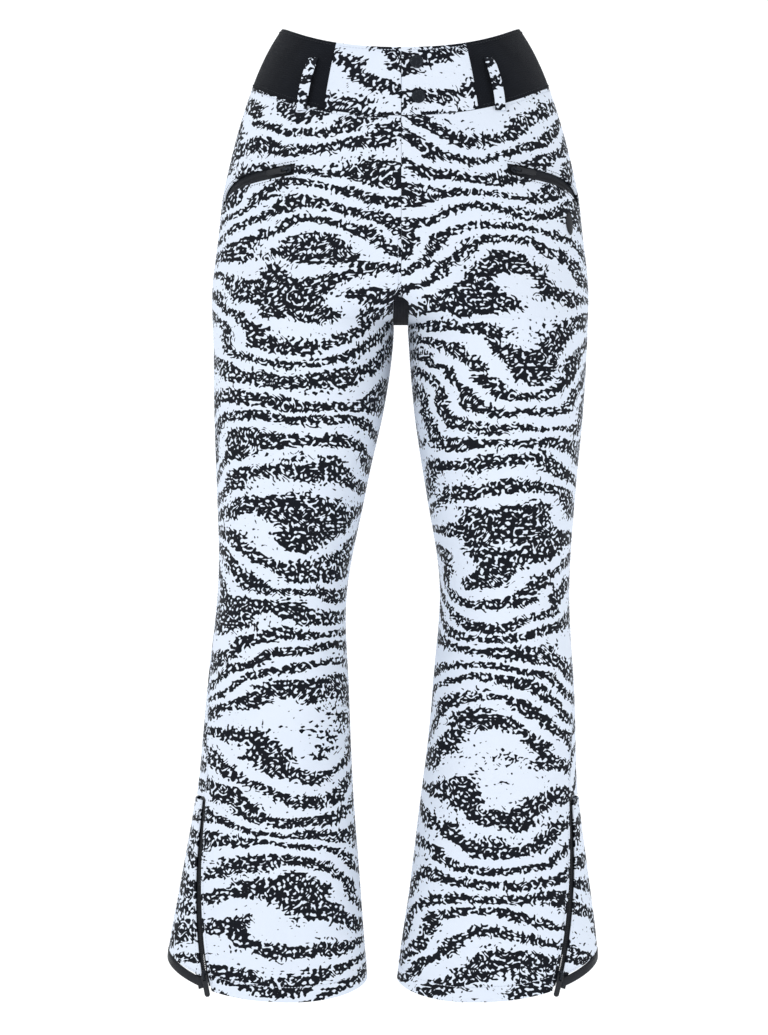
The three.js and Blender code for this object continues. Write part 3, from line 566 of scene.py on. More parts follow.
shell = printed_shell()
stretch = stretch_cloth()
lining = plain_weave(
    "lining_cloth", (0.018, 0.02, 0.026, 1), (0.032, 0.036, 0.045, 1), 0.75, 1700.0, 0.00015, 0.1
)
tape = plain_weave("coated_tape", (0.009, 0.010, 0.014, 1), (0.017, 0.020, 0.026, 1), 0.42, 2400.0, 0.00010)
metal = dark_metal()
rubber = moulded("moulded_trim", (0.008, 0.009, 0.012, 1), (0.018, 0.020, 0.025, 1), 0.5)
pale_thread = moulded("pale_thread", (0.52, 0.57, 0.66, 1), (0.74, 0.80, 0.90, 1), 0.7)
dark_thread = moulded("dark_thread", (0.010, 0.012, 0.016, 1), (0.026, 0.030, 0.038, 1), 0.7)
floor_white = moulded("backdrop_paper", (0.93, 0.94, 0.95, 1), (0.95, 0.955, 0.96, 1), 0.9)
floor_white.node_tree.nodes["Principled BSDF"].inputs["Emission Color"].default_value = (1, 1, 1, 1)
floor_white.node_tree.nodes["Principled BSDF"].inputs["Emission Strength"].default_value = 0.22
backdrop.data.materials.append(floor_white)

# The paper is clear from behind, so that the back of the trousers can be seen.
paper = floor_white.node_tree
behind = paper.nodes.new("ShaderNodeNewGeometry").outputs["Backfacing"]
either = paper.nodes.new("ShaderNodeMixShader")
paper.links.new(behind, either.inputs[0])
paper.links.new(paper.nodes["Principled BSDF"].outputs[0], either.inputs[1])
paper.links.new(paper.nodes.new("ShaderNodeBsdfTransparent").outputs[0], either.inputs[2])
paper.links.new(either.outputs[0], paper.nodes["Material Output"].inputs["Surface"])
print("finishes:", ", ".join(m.name for m in bpy.data.materials if m.users or m.name))

# %% [markdown]
# ## Cutting and laying cloth
#
# A cloth piece starts as a flat grid. Its points are laid on the body, its flat
# coordinates are kept as a UV map, and Solidify gives it the cloth's thickness,
# inwards. Bevel rounds the cut edge, which makes seams read as fine grooves. The
# function also works out how big the flat piece was, for the note on each sheet.


# %% Cloth helper
def settle(obj):
    """Applies the modifiers, so that the mesh is final."""
    bpy.context.view_layer.update()
    depsgraph = bpy.context.evaluated_depsgraph_get()
    mesh = bpy.data.meshes.new_from_object(obj.evaluated_get(depsgraph), depsgraph=depsgraph)
    obj.modifiers.clear()
    obj.data = mesh
    mesh.name = obj.name
    mesh.shade_smooth()
    mesh.set_sharp_from_angle(angle=math.radians(50))
    return obj


def mesh_object(name, bm, material):
    mesh = bpy.data.meshes.new(name)
    bm.to_mesh(mesh)
    bm.free()
    mesh.materials.append(material)
    obj = bpy.data.objects.new(name, mesh)
    bpy.context.scene.collection.objects.link(obj)
    return obj


def cloth(
    name, columns, rows, lay, material, thickness=CLOTH, hole=None, shift=(0, 0), tube=False, edge=0.35
):
    """lay(u, v) gives (side, angle, z, depth); hole(u, v) says where a face is cut out."""
    bm = bmesh.new()
    bmesh.ops.create_grid(bm, x_segments=columns, y_segments=rows, size=0.5)
    grid = np.array([v.co[:2] for v in bm.verts]) + 0.5
    side, angle, z, depth = lay(grid[:, 0], grid[:, 1])
    spots = skin(side, angle, z, depth)
    facing = outward(side, angle, z)
    flat = np.stack([around_cloth(side, angle, z), z + 0 * angle], -1) * MM + np.array(shift)
    order = np.lexsort((grid[:, 0].round(6), grid[:, 1].round(6)))
    laid = spots[order].reshape(rows + 1, columns + 1, 3)
    width = np.linalg.norm(np.diff(laid, axis=1), axis=-1).sum(1).max() * MM
    length = np.linalg.norm(np.diff(laid, axis=0), axis=-1).sum(0).max() * MM
    uv = bm.loops.layers.uv.new("cloth")
    for v, spot in zip(bm.verts, spots * MM):
        v.co = spot
    bm.verts.index_update()
    for face in bm.faces:
        for loop in face.loops:
            loop[uv].uv = flat[loop.vert.index]
    bm.normal_update()
    ahead = sum(f.normal.dot(Vector(facing[f.verts[0].index])) for f in bm.faces)
    if hole is not None:
        cut = [f for f in bm.faces if all(hole(*grid[v.index]) for v in f.verts)]
        bmesh.ops.delete(bm, geom=cut, context="FACES")
    if ahead < 0:
        bmesh.ops.reverse_faces(bm, faces=bm.faces[:])
    if tube:
        bmesh.ops.remove_doubles(bm, verts=bm.verts[:], dist=0.00001)
    area = sum(f.calc_area() for f in bm.faces)
    obj = mesh_object(name, bm, material)
    solid = obj.modifiers.new("thickness", "SOLIDIFY")
    solid.thickness = thickness * MM
    solid.offset = -1
    if edge:
        round_edge = obj.modifiers.new("edge", "BEVEL")
        round_edge.width = edge * MM
        round_edge.segments = 2
        round_edge.limit_method = "ANGLE"
        round_edge.angle_limit = math.radians(50)
    settle(obj)
    obj["flat"] = [float(width), float(length), float(min(area, width * length))]
    return obj


def hang(obj, node, body="root"):
    """The piece stands for its solid and rides on its body."""
    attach(obj, body)
    if node:
        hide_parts(*([node] if isinstance(node, str) else node))
    return obj


SIDES = (("right", -1), ("left", 1))


def in_batches(items, make, size=30):
    """Makes many small shapes a few at a time, because an operator visits all that is there."""
    whole = bmesh.new()
    for first in range(0, len(items), size):
        part = bmesh.new()
        for item in items[first : first + size]:
            make(part, item)
        carrier = bpy.data.meshes.new("batch")
        part.to_mesh(carrier)
        part.free()
        whole.from_mesh(carrier)
        bpy.data.meshes.remove(carrier)
    return whole

# %% [markdown]
# ## Leg panels
#
# Each leg has a front and a rear panel. They run from the middle line, or the inseam
# below the crotch, out to the side seam, and the side seam turns forward into the leg
# zip near the hem. A panel could be cut by eye and trimmed. Here the rows follow the
# waistband above and the hem below, so every edge is already where it is sewn.

# %% Panel rows
CROTCH_ROWS = [0, 1.5, 3.5, 6, 9, 12, 15, 18, 20, 22, 24, 26]
NOTCH = 3


def spread(low, high, count):
    return list(np.linspace(low, high, count + 1))


LEG_ROWS = (
    spread(HEM, ZIP_TOP - NOTCH, 34)
    + spread(ZIP_TOP, KNEE, 34)
    + spread(KNEE, CROTCH - 14, 46)[1:]
    + spread(CROTCH - 14, CROTCH, 4)[1:-1]
    + [CROTCH + rise for rise in CROTCH_ROWS]
    + spread(CROTCH + 26, HIP, 14)[1:]
)
TOP_ROWS = spread(HIP, BAND, 24)[1:]
BINDING_LIFT = 10.9
LEG_SLIT = 4.2
GUSSET_REAR = math.radians(-32)


def panel_edges(rear, nominal, side):
    """The angles of a panel's two edges on each row."""
    sign = -1 if rear else 1
    in_zip = nominal < ZIP_TOP
    seam = seam_on_row(nominal)
    if rear:
        seam = np.where(in_zip, GUSSET_REAR, seam)
    stop = np.where(in_zip, GAP if rear else LEG_SLIT, GAP)
    outer = seam + sign * turn(side, seam, nominal, stop)
    short = np.where(nominal > CROTCH, 0, turn(side, math.pi + 0 * nominal, nominal, GAP / 2))
    return sign * (middle_angle(nominal) - short), outer


def rear_panel(side):
    rows = np.array(LEG_ROWS + TOP_ROWS)

    def lay(u, v):
        nominal = rows[np.round(v * (len(rows) - 1)).astype(int)]
        inner, outer = panel_edges(True, nominal, side)
        angle = mix(inner, outer, u)
        z = row_height(nominal, angle, BINDING_LIFT)
        return side, angle, z, slack(side, angle, z)

    return len(rows) - 1, lay


# %% [markdown]
# ### The pocket opening
#
# The front panel has a slanting slit for the hand pocket. A boolean cut would leave
# ragged long triangles in thin cloth. Instead two rows of the grid are led along the
# slit's edges and the faces between them are left out, as a cutter turns the cloth
# edge along a zip.

# %% Pocket path
POCKET_INNER = math.radians(57)
POCKET_OUTER = math.radians(9)
POCKET_SLIT = 6.0
SLIT_FROM, SLIT_TO = 0.03, 0.97


def pocket_path(t):
    t = np.asarray(t, float)
    return mix(POCKET_INNER, POCKET_OUTER, t), -139 - 16 * t - 15 * np.maximum(t, 0) ** 6


def pocket_height(angle):
    t = np.clip((POCKET_INNER - angle) / (POCKET_INNER - POCKET_OUTER), -0.4, 1.04)
    _, z = pocket_path(t)
    slope = (16 + 90 * np.maximum(t, 0) ** 5) / 128
    return z, POCKET_SLIT * np.sqrt(1 + slope * slope)


# %% Front panels
COLUMNS = 64
SLIT_FIRST, SLIT_LAST = 22, 58
UNDER_SLIT, IN_SLIT, OVER_SLIT = 10, 3, 13


def front_panel(side):
    legs = len(LEG_ROWS) - 1
    total = legs + UNDER_SLIT + IN_SLIT + OVER_SLIT
    nominal_of = np.array(LEG_ROWS + spread(HIP, BAND, UNDER_SLIT + IN_SLIT + OVER_SLIT)[1:])

    def lay(u, v):
        row = np.round(v * total).astype(int)
        nominal = nominal_of[row]
        inner, outer = panel_edges(False, nominal, side)
        plain = mix(inner, outer, u)
        first = mix(POCKET_INNER, POCKET_OUTER, SLIT_FROM)
        last = mix(POCKET_INNER, POCKET_OUTER, SLIT_TO)
        a, b = SLIT_FIRST / COLUMNS, SLIT_LAST / COLUMNS
        led = np.where(
            u <= a,
            mix(inner, first, u / a),
            np.where(u <= b, mix(first, last, (u - a) / (b - a)), mix(last, outer, (u - b) / (1 - b))),
        )
        angle = mix(plain, led, smooth((nominal + 300) / 60))
        z = row_height(nominal, angle)
        over = row - legs
        slit, half = pocket_height(angle)
        top = band_seam(angle) - YOKE_GAP
        below = mix(HIP, slit - half, np.clip(over / UNDER_SLIT, 0, 1))
        within = mix(slit - half, slit + half, np.clip((over - UNDER_SLIT) / IN_SLIT, 0, 1))
        above = mix(slit + half, top, np.clip((over - UNDER_SLIT - IN_SLIT) / OVER_SLIT, 0, 1))
        upper = np.where(over <= UNDER_SLIT, below, np.where(over <= UNDER_SLIT + IN_SLIT, within, above))
        z = np.where(over > 0, upper, z)
        return side, angle, z, slack(side, angle, z)

    def hole(u, v):
        column, row = round(u * COLUMNS), round(v * total) - legs
        return SLIT_FIRST <= column <= SLIT_LAST and UNDER_SLIT <= row <= UNDER_SLIT + IN_SLIT

    return total, lay, hole


shells = {}
for name, side in SIDES:
    rows, lay, hole = front_panel(side)
    shift = (0.31, 0.05) if side > 0 else (0.0, 0.0)
    shells[f"front_{name}"] = cloth(f"front_{name}", COLUMNS, rows, lay, shell, hole=hole, shift=shift)
    rows, lay = rear_panel(side)
    shells[f"back_{name}"] = cloth(f"back_{name}", 56, rows, lay, shell, shift=(0.7 + 0.4 * side, 0.12))
print("panels:", {k: len(o.data.polygons) for k, o in shells.items()})

# %% [markdown]
# ### The closure folds
#
# On the real garment the left front opens: its top corner folds back along a slanted line, from the waist to
# the end of the fly. It is the same cloth on both sides of that line, so one panel is made rather than two
# pieces meeting at a gap. Here the panel is only fixed where it lies and stands for its solids; nothing makes
# it fold.


def folds_open(obj, nodes):
    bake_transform(obj)
    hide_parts(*nodes)


# %% [markdown]
# ## Leg zip gusset, hem binding and crotch strip
#
# Behind each leg zip a wedge of shell cloth lets the hem flare over a boot. A folded
# coated tape protects the hem there and round the back. Between the legs a strip of
# stretch cloth takes the strain where four seams would meet.

# %% Gusset and binding
GUSSET_ROWS = np.array(spread(HEM, ZIP_TOP - NOTCH - 1, 36))


def gusset_lay(side):
    def lay(u, v):
        nominal = GUSSET_ROWS[np.round(v * 36).astype(int)]
        zip_edge = seam_on_row(nominal, BINDING_LIFT)
        front = zip_edge - turn(side, zip_edge, nominal, LEG_SLIT)
        rear = GUSSET_REAR + turn(side, GUSSET_REAR + 0 * nominal, nominal, GAP / 2)
        angle = mix(rear, front, u)
        z = row_height(nominal, angle, BINDING_LIFT)
        return side, angle, z, 1.2 * np.sqrt(np.sin(math.pi * u).clip(0)) + slack(side, angle, z)

    return lay


def binding_lay(side):
    def lay(u, v):
        lift = 10 * v
        zip_edge = side_seam(hem_line(seam_on_row(HEM + 0 * v)) + lift)
        start = zip_edge - turn(side, zip_edge, HEM + 0 * v, LEG_SLIT + 2 * GAP)
        angle = mix(math.radians(-168), start, u)
        roll = 1.5 * np.sqrt(np.sin(math.pi * (0.12 + 0.76 * v)))
        return side, angle, hem_line(angle) + lift, roll

    return lay


bindings = {}
for name, side in SIDES:
    gusset = cloth(f"gusset_{name}", 24, 36, gusset_lay(side), shell, shift=(0.2, 0.3 + 0.1 * side))
    hang(gusset, f"flare_gusset_{name}")
    bindings[name] = cloth(f"binding_{name}", 110, 6, binding_lay(side), tape, thickness=2.8, edge=0.8)
    hang(bindings[name], f"hem_binding_{name}")


# %% Crotch strip
def crotch_strip():
    heights = [22, 18, 14.5, 11, 8, 5, 3, 1.5]
    steps = [(CROTCH + h, 1) for h in heights] + [(CROTCH, 1)]
    steps += [(CROTCH + h, -1) for h in reversed(heights)]
    z = np.array([s[0] for s in steps], float)
    sign = np.array([s[1] for s in steps])
    bm = bmesh.new()
    bmesh.ops.create_grid(bm, x_segments=6, y_segments=len(steps) - 1, size=0.5)
    grid = np.array([v.co[:2] for v in bm.verts]) + 0.5
    row = np.round(grid[:, 1] * (len(steps) - 1)).astype(int)
    edge = skin(1, sign[row] * middle_angle(z[row]), z[row], 0.0)
    across = (middle_gap(z[row]) - GAP * 1.5) * (2 * grid[:, 0] - 1)
    spots = np.stack([lean(z[row]) + across, edge[:, 1], edge[:, 2]], -1)
    uv = bm.loops.layers.uv.new("cloth")
    bm.verts.index_update()
    for v, spot in zip(bm.verts, spots * MM):
        v.co = spot
    for face in bm.faces:
        for loop in face.loops:
            i = loop.vert.index
            loop[uv].uv = (spots[i, 0] * MM, spots[i, 1] * MM)
    bm.normal_update()
    if sum(f.normal.z for f in bm.faces if abs(f.calc_center_median().y) < 0.06) > 0:
        bmesh.ops.reverse_faces(bm, faces=bm.faces[:])
    area = sum(f.calc_area() for f in bm.faces)
    obj = mesh_object("crotch_strip", bm, stretch)
    solid = obj.modifiers.new("thickness", "SOLIDIFY")
    solid.thickness, solid.offset = CLOTH * MM, -1
    settle(obj)
    obj["flat"] = [max(0.017, area / 0.24), 0.24, area]
    return obj


hang(crotch_strip(), "crotch_gusset")
print("gussets, bindings and the crotch strip are on")

# %% [markdown]
# ## Waistband
#
# The band is printed in front and behind, and knitted at the sides so that it gives.
# It is a double layer, softly rounded at its top edge. A flat strip would look like
# card, so the middle of the band stands out a little between its two seams.

# %% Band pieces
STRETCH_FRONT = math.radians(64)
STRETCH_BACK = math.radians(-64)
band_gap = float(turn(1, STRETCH_FRONT, BAND, GAP / 2))
middle_short = float(turn(1, math.pi / 2, BAND, GAP / 2))


def band_lay(side, start, finish, swell=0.9):
    def lay(u, v):
        angle = mix(start, finish, u)
        z = mix(band_seam(angle) + GAP / 2, waist_top(angle), v)
        puff = swell * np.sqrt(np.sin(math.pi * (0.04 + 0.92 * v)).clip(0))
        return side, angle, z, puff

    return lay


front_edge = STRETCH_FRONT + band_gap
front_end = math.pi / 2 - middle_short
back_lay = band_lay(1, STRETCH_BACK - band_gap, -math.pi - STRETCH_BACK + band_gap)
back_band = cloth("waistband_rear", 60, 18, back_lay, shell, shift=(0.1, 0.5))
hang(back_band, "waistband_back")
right_band = cloth(
    "waistband_right", 40, 18, band_lay(-1, front_edge, front_end), shell, shift=(0.45, 0.21)
)
hang(right_band, "waistband_front_right")
left_band = cloth(
    "waistband_left", 44, 18, band_lay(1, front_edge, front_end, 0.25), shell, shift=(0.12, 0.37)
)
folds_open(left_band, ["waistband_front_left", "waistband_tab"])
for name, side in SIDES:
    knit_lay = band_lay(side, STRETCH_BACK + band_gap, STRETCH_FRONT - band_gap)
    knit = cloth(f"stretch_side_{name}", 90, 18, knit_lay, stretch)
    hang(knit, f"side_waist_panel_{name}")


# %% Belt loops
def loop_lay(side, place):
    def lay(u, v):
        z = mix(band_seam(place) - 7, waist_top(place) - 20, v)
        angle = place + turn(side, place + 0 * z, z, (u - 0.5) * 11.5)
        return side, angle, z, 0.3 + 1.4 + 5.2 * np.sin(math.pi * v).clip(0) ** 0.6

    return lay


for node, side, place in [("belt_loop_back", 1, -90)] + [
    (f"belt_loop_{where}_{name}", side, degrees)
    for name, side in SIDES
    for where, degrees in (("front", 55), ("rear", -50))
]:
    lay = loop_lay(side, math.radians(place))
    print_shift = (place / 100, 0.2 * side)
    loop = cloth(f"{node}_cloth", 6, 30, lay, shell, thickness=1.4, shift=print_shift, edge=0.45)
    hang(loop, node)
print("waistband and five belt loops are on")

# %% [markdown]
# ## Zips
#
# A zip is two woven tapes edge to edge. The pockets have coated tape with the coil
# behind it, so only a fine line shows. The leg zips are coarser and show moulded
# teeth. Each tape is laid along its path, and each tooth is a small block set across
# the line with a rounded end.

# %% Paths across the cloth
def leg_path(t):
    t = np.asarray(t, float)
    top, low = ZIP_TOP + 5, float(hem_line(seam_on_row(np.array(HEM, float))))
    z = mix(top, low, t)
    return side_seam(np.minimum(z, ZIP_TOP)), z


def off_path(side, path, t, distance):
    """Angle and height of the point a distance across the path."""
    angle, z = path(t)
    a0, z0 = path(t - 0.01)
    a1, z1 = path(t + 0.01)
    per_radian = 1 / turn(side, angle, z, 1.0)
    run, rise = (a1 - a0) * per_radian, z1 - z0
    size = np.hypot(run, rise)
    return angle - rise / size * distance / per_radian, z + run / size * distance


TAPE_TOP = -CLOTH - LAYER


def tape_lay(side, path, start, finish, near, far):
    def lay(u, v):
        t = mix(start, finish, u)
        angle, z = off_path(side, path, t, mix(near, far, v))
        return side, angle, z, TAPE_TOP + 0 * t

    return lay


# %% Tapes
for name, side in SIDES:
    for part, near, far in (("upper", -0.12, -13.0), ("lower", 0.12, 13.0)):
        lay = tape_lay(side, pocket_path, -0.04, 1.04, near, far)
        strip = cloth(f"pocket_tape_{part}_{name}", 60, 5, lay, tape, thickness=THIN, edge=0.3)
        hang(strip, f"pocket_zip_tape_{part}_{name}")
    for part, near, far in (("front", 0.7, 12.0), ("rear", -0.7, -12.0)):
        lay = tape_lay(side, leg_path, 0.0, 0.985, near, far)
        strip = cloth(f"leg_tape_{part}_{name}", 70, 5, lay, tape, thickness=THIN, edge=0.3)
        hang(strip, f"leg_zip_tape_{part}_{name}")


# %% Teeth
def teeth(name, side, path, start, finish, pitch, depth, size, material, body="root"):
    """Two rows of teeth that mesh on the zip's line."""
    t = np.linspace(start, finish, 400)
    angle, z = path(t)
    line = skin(side, angle, z, depth)
    run = np.concatenate([[0], np.linalg.norm(np.diff(line, axis=0), axis=1).cumsum()])
    count = int(run[-1] / pitch)
    long, wide, tall = size

    def tooth(bm, i):
        here = np.interp((i + 0.5) * pitch / 2, run, t)
        a, h = path(here)
        a2, h2 = path(here + 0.01)
        spot = Vector(skin(side, a, h, depth))
        normal = Vector(outward(side, a, h))
        along = (Vector(skin(side, a2, h2, depth)) - spot).normalized()
        across = normal.cross(along).normalized() * (1 if i % 2 else -1)
        spot = spot + across * (long / 2 - 0.35)
        grid = Matrix((along, across, normal)).transposed().to_4x4()
        place = Matrix.Translation(spot * MM) @ grid @ Matrix.Diagonal((wide * MM, long * MM, tall * MM, 1))
        made = bmesh.ops.create_cube(bm, size=1.0, matrix=place)["verts"]
        tip = [v for v in made if (v.co / MM - spot).dot(across) > 0]
        middle = sum((v.co for v in tip), Vector()) / len(tip)
        for v in tip:
            v.co = v.co.lerp(middle, 0.25)

    obj = mesh_object(name, in_batches(range(2 * count), tooth), material)
    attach(obj, body)
    print(name, 2 * count, "teeth")
    return obj


for name, side in SIDES:
    teeth(f"leg_teeth_{name}", side, leg_path, 0.02, 0.975, 2.3, TAPE_TOP + 0.55, (3.6, 0.95, 1.1), rubber)
    teeth(f"pocket_coil_{name}", side, pocket_path, 0.0, 1.0, 1.3, TAPE_TOP + 0.02, (1.6, 0.5, 0.5), rubber)


# %% [markdown]
# ### Sliders and pulls
#
# Their solids have the right shape but knife-sharp edges, which nothing cast or
# moulded has. They could be modelled again. It is simpler to copy the solid, merge
# its flat faces and round every edge by a fifth of a millimetre.


# %% Rounded copies
def rounded(node, material, body, radius=0.22):
    bm = bmesh.new()
    bm.from_mesh(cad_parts[node].data)
    bmesh.ops.remove_doubles(bm, verts=bm.verts[:], dist=0.000005)
    bmesh.ops.dissolve_limit(
        bm, angle_limit=math.radians(3), verts=bm.verts[:], edges=bm.edges[:], use_dissolve_boundaries=False
    )
    sharp = [e for e in bm.edges if len(e.link_faces) == 2 and e.calc_face_angle(0) > math.radians(35)]
    bmesh.ops.bevel(
        bm,
        geom=sharp,
        offset=radius * MM,
        segments=2,
        profile=0.5,
        affect="EDGES",
        clamp_overlap=True,
        material=-1,
    )
    bmesh.ops.triangulate(bm, faces=bm.faces[:])
    obj = mesh_object(f"{node}_finished", bm, material)
    obj.data.shade_smooth()
    obj.data.set_sharp_from_angle(angle=math.radians(32))
    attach(obj, body)
    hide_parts(node)
    return obj


for name, _ in SIDES:
    for zip_name in ("pocket", "leg"):
        rounded(f"{zip_name}_slider_{name}", metal, f"{zip_name}_slider_{name}")
        rounded(f"{zip_name}_pull_{name}", rubber, f"{zip_name}_pull_{name}", 0.3)
rounded("fly_slider", metal, "fly_slider", 0.12)
rounded("fly_pull", metal, "fly_slider", 0.12)
rounded("hip_tab", rubber, "root", 0.25)
print("sliders, pulls and the hip tab are rounded")

# %% [markdown]
# ## Snaps
#
# A snap is a pressed cap on the outside, a socket under the tab and a stud on the
# layer below. They are turned shapes, so each profile is spun about its own axis. The
# cap has a rolled rim and a shallow dish, which is what catches the light.

# %% Turned parts
SNAPS = (("upper", 16.0, -28.7), ("lower", 18.0, -65.5))
UNDERLAP = TAPE_TOP - 3 - THIN * 0.8 - GAP * 1.5


def front_angle(x, z):
    _, half, _, _ = section(np.asarray(z, float))
    return np.arccos(signed_power(np.asarray(x, float) / half, ROUNDNESS / 2))


def turned(name, profile, x, z, body, node):
    bm = bmesh.new()
    ring = [bm.verts.new((radius * MM, 0, height * MM)) for radius, height in profile]
    edges = [bm.edges.new(pair) for pair in zip(ring, ring[1:])]
    bmesh.ops.spin(
        bm, geom=ring + edges, cent=(0, 0, 0), axis=(0, 0, 1), angle=2 * math.pi, steps=56, use_merge=True
    )
    bmesh.ops.remove_doubles(bm, verts=bm.verts[:], dist=0.000002)
    angle = front_angle(x, z)
    normal = Vector(outward(1, angle, z))
    place = Matrix.Translation(Vector(skin(1, angle, z, 0.0)) * MM)
    place = place @ Vector((0, 0, 1)).rotation_difference(normal).to_matrix().to_4x4()
    bmesh.ops.transform(bm, matrix=place, verts=bm.verts[:])
    bmesh.ops.recalc_face_normals(bm, faces=bm.faces[:])
    obj = mesh_object(name, bm, metal)
    obj.data.shade_smooth()
    obj.data.set_sharp_from_angle(angle=math.radians(40))
    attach(obj, body)
    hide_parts(node)
    return obj


cap = [(0, -1.7), (1.8, -1.7), (1.8, 0.3), (6.6, 0.3), (6.95, 0.55), (7.0, 0.95), (6.8, 1.35), (6.3, 1.65)]
cap += [(5.6, 1.8), (4.9, 1.72), (4.5, 1.5), (3.8, 1.42), (2.4, 1.62), (1.1, 1.75), (0, 1.8)]
socket = [(2.5, TAPE_TOP), (5.2, TAPE_TOP), (5.5, TAPE_TOP - 0.4), (5.5, TAPE_TOP - 2.1)]
socket += [(5.1, TAPE_TOP - 2.5), (2.8, TAPE_TOP - 2.5), (2.5, TAPE_TOP - 2.2), (2.5, TAPE_TOP)]
low = UNDERLAP + GAP
stud = [(0, low), (4.7, low), (5, low + 0.3), (4.8, low + 0.7), (2.3, low + 0.7), (1.9, low + 1.2)]
stud += [(2.0, TAPE_TOP - 1.5), (1.6, TAPE_TOP - 1.05), (0, TAPE_TOP - 1)]
for where, x, z in SNAPS:
    turned(f"cap_{where}", cap, x, z, "closure", f"snap_cap_{where}")
    turned(f"socket_{where}", socket, x, z, "closure", f"snap_socket_{where}")
    turned(f"stud_{where}", stud, x, z, "root", f"snap_stud_{where}")

# %% [markdown]
# ## Inside: fly, facing, pockets and snow gaiters
#
# What shows when the closure opens, or from above and below, is made as carefully as
# the outside. The underlap is shell cloth, the facing and pocket bags are lining, and
# a gathered gaiter with a rubber-knit cuff hangs in each leg.


# %% Fly
def belly_lay(left, right, low, high, depth):
    def lay(u, v):
        x = mix(left, right, u)
        z = mix(low(x), high(x), v)
        return 1, front_angle(x, z), z, depth(x)

    return lay


FLY_TAPE = TAPE_TOP - 3
FLY_LOW, FLY_HIGH = -183.0, -92.0
underlap = cloth(
    "fly_shield",
    36,
    40,
    belly_lay(
        -30,
        32,
        lambda x: FLY_LOW - 12 + 0 * x,
        lambda x: waist_top(front_angle(x, 0 * x)) - 3,
        lambda x: mix(TAPE_TOP, UNDERLAP, smooth((x + 16) / 8)),
    ),
    shell,
    thickness=THIN,
    shift=(0.05, 0.02),
    edge=0.3,
)
hang(underlap, "fly_underlap")


def fly_depth(x):
    return mix(FLY_TAPE, TAPE_TOP, smooth((x - 7) / 3.5))


FLY_TAPES = (("fly_zip_tape_right", -5, 2.8, "root"), ("fly_zip_tape_left", 3.2, 11.3, "closure"))
for node, left, right, body in FLY_TAPES:
    lay = belly_lay(left, right, lambda x: FLY_LOW + 0 * x, lambda x: FLY_HIGH + 0 * x, fly_depth)
    fly_tape = cloth(f"{node}_woven", 8, 40, lay, tape, thickness=0.8, edge=0.2)
    hang(fly_tape, node, body=body)


# %% Lining
def facing_lay(u, v):
    angle = mix(math.radians(-256), math.radians(61), u)
    return 1, angle, mix(band_seam(angle) - 5, waist_top(angle) - 2, v), TAPE_TOP + 0 * u


facing = cloth("facing", 160, 10, facing_lay, lining, thickness=THIN, edge=0.3)
hang(facing, "waistband_facing")


def hanger_lay(u, v):
    place = math.radians(-90)
    z = mix(-42, waist_top(place) - 5, v)
    angle = place + turn(1, place + 0 * z, z, (u - 0.5) * 11.2)
    return 1, angle, z, TAPE_TOP - THIN - GAP * 3 - 5 * np.sin(math.pi * v).clip(0) ** 0.6


hang(cloth("hanger", 6, 26, hanger_lay, lining, thickness=THIN, edge=0.3), "hanger_loop")


def bag_lay(side):
    def lay(u, v):
        angle = np.radians(mix(20, 55, u))
        z = mix(-269, -145, v)
        rounding = 14 * (np.abs(2 * u - 1) ** 6) * (1 - v) ** 3
        sag = 0.8 * np.sin(math.pi * u) * np.sin(math.pi * v)
        depth = TAPE_TOP - THIN - 3 + 2.7 * smooth((v - 0.82) / 0.18) - sag
        return side, angle, z + rounding, depth

    return lay


# %% Gaiters and cuffs
GAITER_TOP, GAITER_END = ZIP_TOP + 28, HEM + 28


def gaiter_lay(side, low, high, extra, ruffle):
    def lay(u, v):
        angle = mix(-math.pi, math.pi, u)
        z = mix(low, high, v)
        depth = TAPE_TOP - 20 * smooth((GAITER_TOP - z) / 75) + extra
        near_cuff = smooth(1.15 - (z - GAITER_END) / 80) * smooth((GAITER_TOP - 20 - z) / 60)
        return side, angle, z, depth - ruffle * near_cuff * (0.5 + 0.5 * np.sin(38 * angle))

    return lay


for name, side in SIDES:
    bag = cloth(f"pocket_bag_{name}_lining", 24, 40, bag_lay(side), lining, thickness=2.2, edge=0.6)
    hang(bag, f"pocket_bag_{name}")
    sleeve_lay = gaiter_lay(side, GAITER_END, GAITER_TOP, 0, 1.5)
    sleeve = cloth(f"gaiter_{name}", 228, 34, sleeve_lay, lining, thickness=0.9, tube=True, edge=0)
    cuff_lay = gaiter_lay(side, GAITER_END, GAITER_END + 12, 2.2, 0.5)
    cuff = cloth(f"cuff_{name}", 228, 6, cuff_lay, stretch, thickness=1.9, tube=True, edge=0.5)
    hang(sleeve, f"snow_gaiter_{name}")
    hang(cuff, f"gaiter_cuff_{name}")
print("linings and gaiters are in")

# %% [markdown]
# ## Stitching
#
# Topstitching holds each seam flat, and its rows are the first thing an eye checks on
# clothing. A texture could fake it, but real thread casts a shadow. Each stitch is a
# small stretched ball along a line on the cloth, one object for a whole group of rows.


